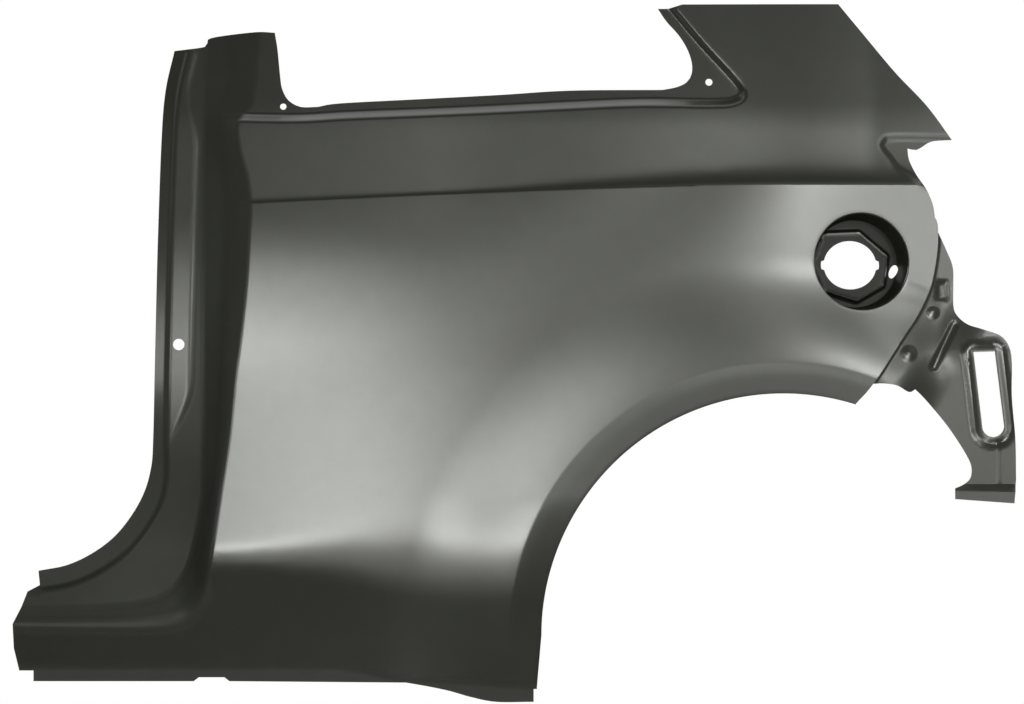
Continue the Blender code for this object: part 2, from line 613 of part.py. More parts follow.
def build_panel(collection, material, lines, frame):
    """The outer pressing: body side, sill, door jamb, window rebate and wheel arch."""
    outline = panel_outline()
    filler = filler_ring(frame, FILLER_RADIUS)
    holes = [filler] + [ring(hole[:2], hole[2], 12)
                        for hole in (WINDOW_FRONT_HOLE, WINDOW_REAR_HOLE, PILLAR_HOLE)]
    rows = panel_rows(bend_lines(EDGE_SPACING))
    rim = FILLER_RADIUS + BOWL_CLEARANCE
    rows += [filler_ring(frame, radius) for radius in (rim, rim + BOWL_RIM_WIDTH)]
    rows += rear_rows()[1:]
    plan, triangles = plan_mesh(outline, holes, rows, FIELD_SPACING)
    out = panel_offset(plan, lines)
    places = [(x, -offset, z) for (x, z), offset in zip(plan, out)]
    sheet = pressing("quarter_panel", collection, material, triangles, places,
                     PANEL_THICKNESS)

    def on_arch(co):
        return co.z > ARCH_Z - 0.07 and abs(arch_distance(co.x, co.z) - ARCH_RADIUS) < 0.0015

    turn_lip(sheet, on_arch, Vector((0, ARCH_LIP, 0)))
    centre, _, _, inboard = frame

    def on_filler(co):
        offset = co - centre
        return abs((offset - offset.dot(inboard) * inboard).length - FILLER_RADIUS) < 0.0015

    turn_lip(sheet, on_filler, FILLER_LIP * inboard)


def neck_hole(count=40):
    """The oval filler neck hole in the bowl's plane, with a clip notch at each end."""
    angles = np.arange(count) * 2 * math.pi / count
    notch = NOTCH_DEPTH * (np.abs(np.cos(angles)) > 0.985)
    return np.column_stack([NECK_CENTRE[0] + (NECK_HOLE_LENGTH + notch) * np.cos(angles),
                            NECK_CENTRE[1] + NECK_HOLE_HEIGHT * np.sin(angles)])


def drain_hole(count=14):
    """The small tilted oval hole beside the neck."""
    angles = np.arange(count) * 2 * math.pi / count
    long_way, short_way = DRAIN_HALF_LENGTH * np.sin(angles), DRAIN_HALF_WIDTH * np.cos(angles)
    turn = DRAIN_TILT
    return np.column_stack([DRAIN_CENTRE[0] + short_way * math.cos(turn) + long_way * math.sin(turn),
                            DRAIN_CENTRE[1] - short_way * math.sin(turn) + long_way * math.cos(turn)])


def bowl_depth(u, v):
    """How far the bowl lies inboard of the plane of its mouth."""
    wall_top = FILLER_RADIUS + BOWL_CLEARANCE
    radius = np.hypot(u, v)
    wall = soft_step(wall_top - radius, 0.0, BOWL_WALL_WIDTH)
    inside = line_distance(np.column_stack([u, v]), closed_row(np.array(PLATFORM)))
    platform = soft_step(inside, -PLATFORM_WALL, 0.0)
    return wall * (BOWL_DEPTH - PLATFORM_HEIGHT * platform)


def build_bowl(collection, material, lines, frame):
    """The filler bowl: its rim follows the panel's inner face, and its floor holds the neck."""
    centre, across, rise, inboard = frame
    wall_top = FILLER_RADIUS + BOWL_CLEARANCE
    rim_edge = wall_top + BOWL_RIM_WIDTH
    holes = [neck_hole(), drain_hole()]
    rows = [closed_row(ring((0, 0), wall_top - share * BOWL_WALL_WIDTH, RING_POINTS))
            for share in (0.0, 0.35, 0.65, 1.0)]
    platform = straight_run([*PLATFORM, PLATFORM[0]], BOWL_SPACING)
    rows += [platform, offset_line(platform, -PLATFORM_WALL)]
    plan, triangles = plan_mesh(ring((0, 0), rim_edge, RING_POINTS), holes, rows, BOWL_SPACING)
    spots = [centre + u * across + v * rise for u, v in plan.tolist()]
    skin = -panel_offset(np.array([(spot.x, spot.z) for spot in spots]), lines)
    depths = bowl_depth(plan[:, 0], plan[:, 1])
    places = []
    for spot, skin_y, depth in zip(spots, skin.tolist(), depths.tolist()):
        on_skin = Vector((spot.x, skin_y, spot.z))
        seat = on_skin.lerp(spot, min(1.0, depth / (0.5 * BOWL_DEPTH)))
        places.append(seat + (PANEL_THICKNESS + WELD_GAP + depth) * inboard)
    pressing("fuel_filler_bowl", collection, material, triangles, places, BOWL_THICKNESS)


def rear_rows():
    """The panel's rear edge and two rows inside it, which the bracket under it shares."""
    arch_end = arch_row(0.0, math.pi, ARCH_REAR_ANGLE)[-1]
    edge = smooth_run([tuple(arch_end)] + REAR_EDGE, EDGE_SPACING)
    joined = edge[(edge[:, 1] > BRACKET_ARCH[0][1] - 0.001) & (edge[:, 1] < BRACKET_TAIL[-1][1])]
    return [joined] + [offset_line(joined, share * BRACKET_OVERLAP) for share in (0.5, 1.0)]


def slot_loop(grow=0.0):
    """The bracket's tapered slot, with a round lower end, or a loop outside it."""
    radius = SLOT_END_RADIUS + grow
    angles = np.linspace(math.pi, 2 * math.pi, 9)
    arc = np.column_stack([SLOT_END[0] + radius * np.cos(angles),
                           SLOT_END[1] + radius * np.sin(angles)])
    left = (SLOT_TOP_LEFT[0] - grow, SLOT_TOP_LEFT[1] + grow)
    right = (SLOT_TOP_RIGHT[0] + grow, SLOT_TOP_RIGHT[1] + grow)
    sides = straight_run([tuple(arc[-1]), right, left, tuple(arc[0])], BRACKET_SPACING)
    return np.vstack([arc, sides[1:-1]])


def bracket_offset(points, lines):
    """How far the bracket's outer face lies outboard at each plan point."""
    x, z = points[:, 0], points[:, 1]
    step = 0.004
    skin = panel_offset(points, lines)
    slope_x = (panel_offset(points + (step, 0), lines) - skin) / step
    slope_z = (panel_offset(points + (0, step), lines) - skin) / step
    seat = skin - (PANEL_THICKNESS + WELD_GAP) * np.sqrt(1 + slope_x ** 2 + slope_z ** 2)
    beyond = -line_distance(points, rear_rows()[0])
    level = (BRACKET_LEVEL + BRACKET_SLOPE * (BRACKET_LEVEL_X - x)
             - BRACKET_LEAN * np.maximum(z - SLOT_TOP_LEFT[1], 0))
    out = seat + (level - seat) * soft_step(beyond, BRACKET_RUN_START,
                                             BRACKET_RUN_OUT)
    for boss in BOSSES:
        share = np.minimum(np.hypot(x - boss[0], z - boss[1]) / boss[2], 1.0)
        out = out + BOSS_HEIGHT * boss[2] * (1 - share ** 2) ** 2
    bead = np.abs(line_distance(points, np.array(BEAD_LINE)))
    out = out - BEAD_DEPTH * (1 - np.minimum(bead / BEAD_HALF_WIDTH, 1.0) ** 2) ** 2
    slot = slot_loop()
    rim = np.abs(line_distance(points, closed_row(slot))) - SLOT_RIM_DISTANCE
    out = out + SLOT_RIM_HEIGHT * (1 - np.minimum(np.abs(rim) / SLOT_RIM_WIDTH, 1.0) ** 2) ** 2
    across = np.minimum(x - POCKET_LOW[0], POCKET_HIGH[0] - x)
    up = np.minimum(z - POCKET_LOW[1], POCKET_HIGH[1] - z)
    out = out - POCKET_DEPTH * soft_step(np.minimum(across, up), 0.0, 0.005)
    foot = 1 - soft_step(z, FOOT_LIP_TOP, FOOT_TOP)
    return out + (FOOT_LEVEL - out) * foot


def build_bracket(collection, material, lines):
    """The rear corner bracket, whose front edge is welded under the panel's rear edge."""
    rear = rear_rows()
    inner = rear[2][::-1]
    tail = smooth_run(BRACKET_TAIL, BRACKET_SPACING)
    curves = [straight_run(BRACKET_FOOT, BRACKET_SPACING), tail,
              straight_run([tuple(tail[-1]), tuple(inner[0])], BRACKET_SPACING),
              inner, straight_run([tuple(inner[-1]), BRACKET_ARCH[0]], BRACKET_SPACING),
              smooth_run(BRACKET_ARCH, BRACKET_SPACING), smooth_run(BRACKET_HEEL, BRACKET_SPACING)]
    outline = closed_loop(curves)
    rows = rear[:2]
    for boss in BOSSES:
        rows += [closed_row(ring(boss[:2], boss[2], 12)),
                 closed_row(ring(boss[:2], 0.6 * boss[2], 10))]
        rows.append(ring(boss[:2], 0.2 * boss[2], 5))
    bead = straight_run(BEAD_LINE, BRACKET_SPACING)
    rows += [offset_line(bead, share * BEAD_HALF_WIDTH) for share in (-1.0, -0.5, 0.0, 0.5, 1.0)]
    rim_offsets = (SLOT_RIM_DISTANCE - SLOT_RIM_WIDTH, SLOT_RIM_DISTANCE,
                   SLOT_RIM_DISTANCE + SLOT_RIM_WIDTH)
    rows += [closed_row(slot_loop(grow)) for grow in rim_offsets]
    for z in (FOOT_LIP_TOP - FOOT_LIP_FLAT, FOOT_LIP_TOP, FOOT_TOP):
        rows.append(straight_run([(FOOT_LEFT + PANEL_THICKNESS, z),
                                  (FOOT_RIGHT - PANEL_THICKNESS, z)], BRACKET_SPACING))
    pocket = [POCKET_LOW, (POCKET_HIGH[0], POCKET_LOW[1]), POCKET_HIGH,
              (POCKET_LOW[0], POCKET_HIGH[1]), POCKET_LOW]
    rows.append(straight_run(pocket, BRACKET_SPACING))
    plan, triangles = plan_mesh(outline, [slot_loop()], rows, BRACKET_SPACING)
    places = [(x, -out, z) for (x, z), out in zip(plan, bracket_offset(plan, lines))]
    pressing("rear_corner_bracket", collection, material, triangles, places,
             BRACKET_THICKNESS)


def clear_scene():
    """Start from an empty scene."""
    for obj in list(bpy.data.objects):
        bpy.data.objects.remove(obj, do_unlink=True)


def primer(name, colour, roughness):
    """Electro-coat primer on steel."""
    material = bpy.data.materials.new(name)
    material.use_nodes = True
    shader = material.node_tree.nodes["Principled BSDF"]
    shader.inputs["Base Color"].default_value = (*colour, 1.0)
    shader.inputs["Roughness"].default_value = roughness
    shader.inputs["Metallic"].default_value = 0.0
    return material


clear_scene()
part = bpy.data.collections.new("rear_quarter_panel")
bpy.context.scene.collection.children.link(part)
panel_lines = bend_lines(EDGE_SPACING / 2)
filler_axes = filler_frame(panel_lines)
build_panel(part, primer("dark_primer", *DARK_PRIMER), panel_lines, filler_axes)
build_bowl(part, primer("bowl_primer", *BOWL_PRIMER), panel_lines, filler_axes)
build_bracket(part, primer("bracket_primer", *BRACKET_PRIMER), panel_lines)
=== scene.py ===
"""Rear quarter panel of a small three-door hatchback, left side, hung in a plain studio.

Three steel pressings in dark factory primer: the outer panel, the filler bowl behind its round
opening, and the bracket behind its rear edge. x runs to the rear of the car, y inboard, z up.
"""
import math

import bpy
import numpy as np
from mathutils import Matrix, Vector
from mathutils.geometry import delaunay_2d_cdt


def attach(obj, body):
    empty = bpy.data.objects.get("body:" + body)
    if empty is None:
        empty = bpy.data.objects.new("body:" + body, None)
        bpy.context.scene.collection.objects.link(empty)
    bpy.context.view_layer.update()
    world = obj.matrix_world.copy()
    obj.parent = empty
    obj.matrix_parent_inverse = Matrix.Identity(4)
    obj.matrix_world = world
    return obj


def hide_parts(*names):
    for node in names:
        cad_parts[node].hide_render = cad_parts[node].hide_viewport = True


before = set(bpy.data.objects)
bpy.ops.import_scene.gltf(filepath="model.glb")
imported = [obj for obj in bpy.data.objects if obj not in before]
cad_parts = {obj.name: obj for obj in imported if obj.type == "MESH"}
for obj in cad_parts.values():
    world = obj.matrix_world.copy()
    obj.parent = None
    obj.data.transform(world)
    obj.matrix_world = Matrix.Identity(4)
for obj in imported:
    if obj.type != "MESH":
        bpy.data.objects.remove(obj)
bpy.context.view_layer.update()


# Studio: a pale floor below the hung part, and a white surround behind it.
# In front the room is dim, so that the soft boxes alone show in the primer.

FLOOR_HEIGHT = -1.55
FLOOR_HALF_WIDTH = 18.0
FLOOR_PALE = (0.80, 0.80, 0.79)
FLOOR_GLOW = 0.45
FLOOR_ROUGHNESS = 0.9
ROOM_FILL = 0.22
ROOM_DIM = 0.03
BEHIND_START = -0.05
BEHIND_FULL = 0.35


class Wire:
    """One output of a shader node. Sums and products of wires are made as Math nodes."""

    def __init__(self, tree, socket):
        self.tree = tree
        self.socket = socket

    def node(self, kind, output, inputs, **settings):
        """Any other node: its settings, its inputs by name or place, and one output as a wire."""
        made = self.tree.nodes.new(kind)
        for name, value in settings.items():
            setattr(made, name, value)
        for name, value in inputs.items():
            if isinstance(value, Wire):
                self.tree.links.new(value.socket, made.inputs[name])
            else:
                made.inputs[name].default_value = value
        return Wire(self.tree, made.outputs[output])

    def into(self, node, name):
        """Links the wire to a node's input."""
        self.tree.links.new(self.socket, node.inputs[name])

    def maths(self, operation, first, second):
        """One Math node with two inputs."""
        return self.node("ShaderNodeMath", 0, {0: first, 1: second}, operation=operation)

    def __add__(self, other):
        return self.maths("ADD", self, other)

    def __radd__(self, other):
        return self.maths("ADD", other, self)

    def __sub__(self, other):
        return self.maths("SUBTRACT", self, other)

    def __rsub__(self, other):
        return self.maths("SUBTRACT", other, self)

    def __mul__(self, other):
        return self.maths("MULTIPLY", self, other)

    def __rmul__(self, other):
        return self.maths("MULTIPLY", other, self)


def behind_part(y):
    """A smooth step from nought in front of the part to one behind it."""
    return y.node("ShaderNodeMapRange", "Result",
                  {"Value": y, "From Min": BEHIND_START, "From Max": BEHIND_FULL},
                  interpolation_type="SMOOTHSTEP")


def shown_white(tree, y):
    """One for the camera, and behind the part also for gloss and clear materials."""
    paths = Wire(tree, None)
    camera = paths.node("ShaderNodeLightPath", "Is Camera Ray", {})
    glossy = paths.node("ShaderNodeLightPath", "Is Glossy Ray", {})
    passed = paths.node("ShaderNodeLightPath", "Is Transmission Ray", {})
    return camera + (glossy + passed) * behind_part(y)


world = bpy.data.worlds.new("studio_room")
bpy.context.scene.world = world
world.use_nodes = True
world.node_tree.nodes.clear()
start = Wire(world.node_tree, None)
direction = start.node("ShaderNodeTexCoord", "Generated", {})
direction_y = direction.node("ShaderNodeSeparateXYZ", "Y", {"Vector": direction})
diffuse = start.node("ShaderNodeLightPath", "Is Diffuse Ray", {})
white = shown_white(world.node_tree, direction_y)
strength = ROOM_DIM + ROOM_FILL * diffuse + (1.0 - ROOM_DIM) * white
surround = start.node("ShaderNodeBackground", "Background",
                      {"Color": (1.0, 1.0, 1.0, 1.0), "Strength": strength})
world_output = world.node_tree.nodes.new("ShaderNodeOutputWorld")
surround.into(world_output, "Surface")

floor_mesh = bpy.data.meshes.new("studio_floor")
floor_mesh.from_pydata([(x * FLOOR_HALF_WIDTH, y * FLOOR_HALF_WIDTH, FLOOR_HEIGHT)
                        for x, y in ((-1, -1), (1, -1), (1, 1), (-1, 1))],
                       [], [(0, 1, 2, 3)])
floor = bpy.data.objects.new("studio_floor", floor_mesh)
bpy.context.scene.collection.objects.link(floor)
floor_paint = bpy.data.materials.new("pale_floor")
floor_paint.use_nodes = True
floor_shader = floor_paint.node_tree.nodes["Principled BSDF"]
floor_shader.inputs["Base Color"].default_value = (*FLOOR_PALE, 1.0)
floor_shader.inputs["Roughness"].default_value = FLOOR_ROUGHNESS
floor_shader.inputs["Specular IOR Level"].default_value = 0.0
floor_shader.inputs["Emission Strength"].default_value = FLOOR_GLOW
start = Wire(floor_paint.node_tree, None)
place = start.node("ShaderNodeTexCoord", "Object", {})
place_y = place.node("ShaderNodeSeparateXYZ", "Y", {"Vector": place})
glow = shown_white(floor_paint.node_tree, place_y)
tone = start.node("ShaderNodeCombineColor", "Color", {"Red": glow, "Green": glow, "Blue": glow})
tone.into(floor_shader, "Emission Color")
floor_mesh.materials.append(floor_paint)
floor.visible_glossy = False


# Camera: square on to the side from far off, as the photograph was taken.
# Its lens shows the view's width at the part.

CAMERA_DISTANCE = 20.0
CAMERA_CENTRE = (0.5586, -0.05, 0.4550)
VIEW_WIDTH = 1.4336
FARTHEST_SEEN = 100.0

camera_data = bpy.data.cameras.new("photo_camera")
camera_data.lens = camera_data.sensor_width * CAMERA_DISTANCE / VIEW_WIDTH
camera_data.clip_end = FARTHEST_SEEN
camera = bpy.data.objects.new("photo_camera", camera_data)
camera.location = Vector(CAMERA_CENTRE) - Vector((0, CAMERA_DISTANCE, 0))
camera.rotation_euler = (math.radians(90), 0, 0)
bpy.context.scene.collection.objects.link(camera)
bpy.context.scene.camera = camera


# Soft boxes: cloth fronts that all face the part, all but one on a plane three metres off.
# Each is left, right, bottom and top in metres, its distance, then the radiance of its cloth.

SOFT_BOX_COLOUR = (0.985, 1.0, 0.96)
SOFT_BOXES = {
    "left_side_box": (-2.70, -1.30, 0.10, 1.40, 3.0, 7.0),
    "left_top_box": (-0.10, 0.30, 1.15, 2.05, 3.0, 9.5),
    "left_high_box": (0.00, 0.29, 0.40, 1.15, 3.0, 20.0),
    "left_low_box": (0.24, 0.47, -1.40, 0.28, 3.0, 24.0),
    "left_foot_box": (-0.20, 0.22, -1.70, -0.80, 3.0, 11.0),
    "left_floor_box": (0.10, 0.55, -1.50, -0.85, 1.6, 2.0),
    "right_high_box": (1.90, 2.50, 1.40, 2.10, 3.0, 17.0),
    "right_top_box": (2.50, 3.70, 1.80, 2.70, 3.0, 8.5),
    "right_box": (1.90, 2.18, 0.55, 1.35, 3.0, 18.0),
    "side_box": (2.70, 3.50, 0.45, 1.10, 3.0, 10.0),
    "far_box": (3.60, 4.70, 3.40, 4.40, 3.0, 12.0),
    "top_box": (0.60, 1.80, 2.80, 3.40, 3.0, 3.4),
    "right_low_box": (1.30, 1.75, -0.20, 0.20, 3.0, 5.0),
}

for name, (left, right, bottom, top, distance, radiance) in SOFT_BOXES.items():
    light = bpy.data.lights.new(name, "AREA")
    light.shape = "RECTANGLE"
    light.color = SOFT_BOX_COLOUR
    light.size, light.size_y = right - left, top - bottom
    light.energy = radiance * math.pi * light.size * light.size_y
    box = bpy.data.objects.new(name, light)
    box.location = (0.5 * (left + right), -distance, 0.5 * (bottom + top))
    box.rotation_euler = (math.radians(90), 0, 0)
    box.visible_camera = False
    bpy.context.scene.collection.objects.link(box)

bpy.context.scene.view_settings.view_transform = "Standard"


# Outer panel: one sheet of 0.8 mm steel, drawn, trimmed and flanged in a press.
# The body side, sill, pillar, door jamb, window rebate and arch lip are all in the one pressing,
# dipped in dark primer. It welds to the sill, the pillar and the wheel house.

PANEL_THICKNESS = 0.0008
WELD_GAP = 0.0004
ARCH_X = 0.938
ARCH_Z = 0.059
ARCH_RADIUS = 0.338
ARCH_BAND_WIDTH = 0.045
ARCH_BAND_DROP = 0.007
ARCH_BAND_BEND = 0.002
ARCH_FLARE_START = -0.02
ARCH_FLARE_WIDTH = 0.150
ARCH_LIP = 0.014
ARCH_LEG_LEAN = 0.085
ARCH_PLANE_LIFT = 0.004
ARCH_PLANE_SWEEP = 0.35
ARCH_REAR_ANGLE = math.radians(72.6)
ARCH_ROW_END = math.radians(52)
BODY_BULGE = 0.106
BULGE_HEIGHT = 0.420
PLAN_SWEEP = 0.038
PLAN_SWEEP_START = 0.180
PLAN_SWEEP_LENGTH = 0.975
REAR_SWEEP = 0.055
REAR_SWEEP_START = 0.350
REAR_SWEEP_LENGTH = 0.805
LOWER_SIDE_CURVE = 0.10
FRONT_SIDE_CURVE = 0.72
REAR_SIDE_CURVE = 0.10
SHOULDER_HEIGHT = 0.689
SHOULDER_FALL = 0.024
SHOULDER_FALL_LENGTH = 0.710
FRONT_LEDGE = 0.0015
REAR_LEDGE = 0.010
FRONT_LEDGE_WIDTH = 0.002
REAR_LEDGE_WIDTH = 0.012
LEDGE_START = 0.45
LEDGE_FULL = 1.00
BELT_HEIGHT = 0.785
BELT_BEND = 0.02
SHOULDER_SLOPE = 0.33
PILLAR_SLOPE = 0.44
TUCK_HEIGHT = 0.166
TUCK_RISE = 0.024
FRONT_TUCK_RADIUS = 0.024
REAR_TUCK_RADIUS = 0.075
TUCK_SOFTENS = (0.15, 0.50)
TUCK_END_ROUNDING = 0.02
SILL_FLANGE_TOP = 0.0095
SILL_FLANGE_BOTTOM = -0.007
SILL_FLANGE_FALL = 0.0185
SILL_FLANGE_FALLS = (0.30, 0.43)
REAR_FLANGE_FALL = 0.009
REAR_FLANGE_FALLS = (0.44, 0.59)
DOOR_FLANGE_WIDTH = 0.018
SILL_DOOR_FLANGE_WIDTH = 0.027
DOOR_FLANGE_WIDENS = (0.23, 0.34)
DOOR_FLANGE_STEP = 0.005
DOOR_FLANGE_BEND = 0.005
DOOR_FLANGE_TILT = 0.006
PAD_REACH = 0.052
PAD_HEAD_REACH = 0.032
PAD_FOOT = (0.300, 0.410)
PAD_HEAD = (0.740, 0.840)
PAD_STEP = 0.003
PAD_EDGE = 0.010
SILL_TOP_SLOPE = 0.022
JAMB_DEPTH = 0.050
JAMB_CREASE = 0.55
JAMB_STEEPNESS = 1.25
JAMB_CREASE_BEND = 0.04
PILLAR_FOOT_Z = 0.165
PILLAR_FREE_Z = 0.420
SHUT_BEND = 0.004
FOOT_BEND = 0.005
GLASS_DEPTH = 0.013
GLASS_WALL_WIDTH = 0.010
GLASS_BEND = 0.003
LAMP_POCKET_DEPTH = 0.0035
LAMP_WALL_WIDTH = 0.012
FOLD_RADIUS = 0.0015
EDGE_STEP = 0.006
FIELD_STEP = 0.0062
LINE_STEP = 0.005
HEEL_Z = -0.018
SLIVER_AREA = 1e-9
WINDOW_HOLES = [(0.2376, 0.7994, 0.0045), (0.8352, 0.8340, 0.0050)]
PILLAR_HOLE = (0.0921, 0.4655, 0.0080)
FILLER_X = 1.0486
FILLER_Z = 0.5817
FILLER_RADIUS = 0.068
FILLER_LIP = 0.005
FILLER_POINTS = 110
SHARP_EDGE_ANGLE = math.radians(40)
PRIMER_IOR = 1.6
RESIN_IOR = 1.75
BROAD_CLOUDS = (5.0, 3.0, 0.55)  # noise: scale to the metre, detail and roughness
HAND_CLOUDS = (38.0, 4.0, 0.60)
FINE_CLOUDS = (520.0, 2.0, 0.60)
ORANGE_PEEL = (330.0, 2.0, 0.50)
PANEL_COLOUR = (0.0150, 0.0160, 0.0115)
ROUGHER_WHERE_RUBBED = 0.4
ROUGHER_WHERE_CLOUDED = 0.3

# Trimmed edges as knots (x, z), anticlockwise as seen from outside the car. The sill's end and
# foot and the pillar's cut run straight from knot to knot, and the others are smooth curves.
DOOR_EDGE = [(0.083, 0.879), (0.071, 0.822), (0.066, 0.752), (0.062, 0.612), (0.059, 0.465),
             (0.056, 0.339), (0.052, 0.290), (0.038, 0.248), (0.010, 0.206), (-0.022, 0.178),
             (-0.063, 0.157), (-0.106, 0.148)]
SILL_END = [(-0.106, 0.148), (-0.104, 0.128), (-0.121, 0.119), (-0.129, 0.098), (-0.141, 0.074),
            (-0.140, 0.040), (-0.133, 0.008), (-0.113, 0.008), (-0.113, SILL_FLANGE_BOTTOM)]
SILL_FOOT = [(-0.113, SILL_FLANGE_BOTTOM), (0.112, SILL_FLANGE_BOTTOM), (0.119, -0.0015),
             (0.155, -0.0015), (0.162, SILL_FLANGE_BOTTOM), (0.410, -0.009)]
REAR_DROP = [(0.410, -0.009), (0.444, -0.015), (0.472, -0.021), (0.500, -0.029), (0.536, -0.036),
             (0.589, -0.036)]
REAR_EDGE = [(1.064, 0.411), (1.106, 0.475), (1.128, 0.508), (1.145, 0.544), (1.152, 0.574),
             (1.156, 0.605), (1.156, 0.634), (1.152, 0.644)]
LAMP_EDGE = [(1.152, 0.644), (1.149, 0.662), (1.140, 0.683), (1.126, 0.704), (1.116, 0.725),
             (1.114, 0.741)]
LAMP_TOP = [(1.114, 0.741), (1.127, 0.739), (1.139, 0.746), (1.149, 0.751), (1.177, 0.753)]
TAILGATE_EDGE = [(1.177, 0.753), (1.142, 0.801), (1.098, 0.848), (1.050, 0.906), (1.018, 0.945)]
PILLAR_CUT = [(1.018, 0.945), (0.798, 0.944), (0.779, 0.938), (0.764, 0.938)]
WINDOW_REAR = [(0.764, 0.938), (0.776, 0.920), (0.792, 0.902), (0.804, 0.883), (0.811, 0.863),
               (0.811, 0.846), (0.804, 0.834), (0.790, 0.827), (0.770, 0.823)]
WINDOW_FOOT = [(0.770, 0.823), (0.640, 0.822), (0.542, 0.816), (0.430, 0.810), (0.318, 0.804),
               (0.286, 0.799)]
WINDOW_FRONT = [(0.286, 0.799), (0.262, 0.799), (0.245, 0.808), (0.236, 0.824), (0.233, 0.842),
                (0.229, 0.880), (0.225, 0.904)]
PILLAR_HEAD = [(0.225, 0.904), (0.199, 0.905), (0.150, 0.900), (0.130, 0.895), (0.126, 0.885),
               (0.083, 0.879)]

# Bend lines as knots of smooth curves that run past the edges
SHUT_LINE = [(0.203, 0.930), (0.200, 0.864), (0.193, 0.808), (0.182, 0.791), (0.173, 0.774),
             (0.176, 0.743), (0.188, 0.699), (0.192, 0.659), (0.190, 0.612), (0.186, 0.545),
             (0.178, 0.472), (0.171, 0.421), (0.162, 0.335), (0.149, 0.251), (0.136, 0.164),
             (0.126, 0.113), (0.105, 0.083), (0.064, 0.071), (-0.032, 0.071), (-0.158, 0.073)]
JAMB_FOOT = [(0.130, 0.930), (0.126, 0.830), (0.125, 0.668), (0.126, 0.528), (0.127, 0.388),
             (0.126, 0.290), (0.125, 0.253), (0.116, 0.202), (0.106, 0.162), (0.092, 0.136),
             (0.073, 0.116), (0.038, 0.104), (-0.020, 0.098), (-0.158, 0.094)]
GLASS_LINE = [(0.150, 0.781), (0.180, 0.779), (0.260, 0.778), (0.330, 0.782), (0.430, 0.786),
              (0.542, 0.791), (0.640, 0.796), (0.738, 0.800), (0.840, 0.799), (0.872, 0.802),
              (0.886, 0.811), (0.887, 0.822), (0.874, 0.842), (0.828, 0.893), (0.777, 0.955)]
LAMP_LINE = [(1.200, 0.761), (1.096, 0.762), (1.078, 0.757), (1.072, 0.748), (1.075, 0.737),
             (1.086, 0.724), (1.097, 0.709), (1.121, 0.693), (1.160, 0.668)]


def smooth_run(knots, spacing):
    """Points on a Catmull-Rom curve: each stretch is half the cubic that passes its two knots
    with the slopes of the chords over them."""
    knots = np.asarray(knots, dtype=float)
    padded = np.vstack([2 * knots[0] - knots[1], knots, 2 * knots[-1] - knots[-2]])
    stretches = []
    for p0, p1, p2, p3 in zip(padded, padded[1:], padded[2:], padded[3:]):
        steps = max(1, round(np.linalg.norm(p2 - p1) / spacing))
        t = (np.arange(steps) / steps)[:, None]
        stretches.append(0.5 * (2 * p1 + (p2 - p0) * t + (2 * p0 - 5 * p1 + 4 * p2 - p3) * t ** 2
                                + (3 * p1 - p0 - 3 * p2 + p3) * t ** 3))
    return np.vstack([*stretches, knots[-1:]])


def straight_run(knots, spacing):
    """Points in equal steps along the straight lines between the knots."""
    knots = np.asarray(knots, dtype=float)
    run = [knots[:1]]
    for begin, end in zip(knots, knots[1:]):
        steps = max(1, round(np.linalg.norm(end - begin) / spacing))
        run.append(begin + (end - begin) * np.arange(1, steps + 1)[:, None] / steps)
    return np.vstack(run)


def closed_row(loop):
    """A closed loop as a row that ends where it starts."""
    return np.vstack([loop, loop[:1]])


def ring(centre, radius, count):
    """A circle: the centre plus the radius times the cosine and sine of equal angles."""
    angles = np.arange(count) * 2 * math.pi / count
    return np.column_stack([centre[0] + radius * np.cos(angles),
                            centre[1] + radius * np.sin(angles)])


def line_distance(points, line):
    """Distance from a polyline: the least over its spans, positive on the line's left."""
    best = np.full(len(points), np.inf)
    side = np.ones(len(points))
    for begin, span in zip(line[:-1], np.diff(line, axis=0)):
        offset = points - begin
        along = np.clip(offset @ span / (span @ span), 0.0, 1.0)
        gap = np.hypot(offset[:, 0] - along * span[0], offset[:, 1] - along * span[1])
        closer = gap < best - 1e-9
        best[closer] = gap[closer]
        cross = span[0] * offset[:, 1] - span[1] * offset[:, 0]
        side[closer] = np.sign(cross[closer])
    return best * side


def offset_line(line, distance, extra=0.0):
    """A polyline moved to its left along its normals, less the loops at tight bends. The
    distance is a length or a function of the moved point's height, plus the extra."""
    spans = np.gradient(line, axis=0)
    spans /= np.linalg.norm(spans, axis=1)[:, None]
    normals = np.column_stack([-spans[:, 1], spans[:, 0]])
    moved = line
    for _ in range(5):
        length = distance(moved[:, 1]) if callable(distance) else distance
        length = np.broadcast_to(length + extra, len(line))
        moved = line + length[:, None] * normals
    return moved[np.abs(line_distance(moved, line)) > 0.97 * np.abs(length)]


def between_lines(first, second, share):
    """A row a share of the way from one polyline to another, matched along their lengths."""
    steps = np.linspace(0.0, 1.0, len(first))
    matched = []
    for line in (first, second):
        along = np.append(0.0, np.cumsum(np.linalg.norm(np.diff(line, axis=0), axis=1)))
        matched.append(np.column_stack([np.interp(steps, along / along[-1], line[:, axis])
                                        for axis in (0, 1)]))
    return matched[0] + share * (matched[1] - matched[0])


def soft_ramp(value, radius):
    """Zero below nought and the value above it, with a parabola over the radius either side."""
    return np.where(value > radius, value,
                    np.where(value < -radius, 0.0, (value + radius) ** 2 / (4 * radius)))


def soft_step(value, begin, end):
    """A step from nought to one as three squares less two cubes of the share of the way."""
    t = np.clip((value - begin) / (end - begin), 0.0, 1.0)
    return t * t * (3 - 2 * t)


def arch_distance(x, z):
    """Distance from the wheel arch's axis, with the leg below the axis leaning forward."""
    below = np.minimum(z - ARCH_Z, 0.0)
    return np.hypot(x - ARCH_X - ARCH_LEG_LEAN * below, np.maximum(z - ARCH_Z, 0.0))


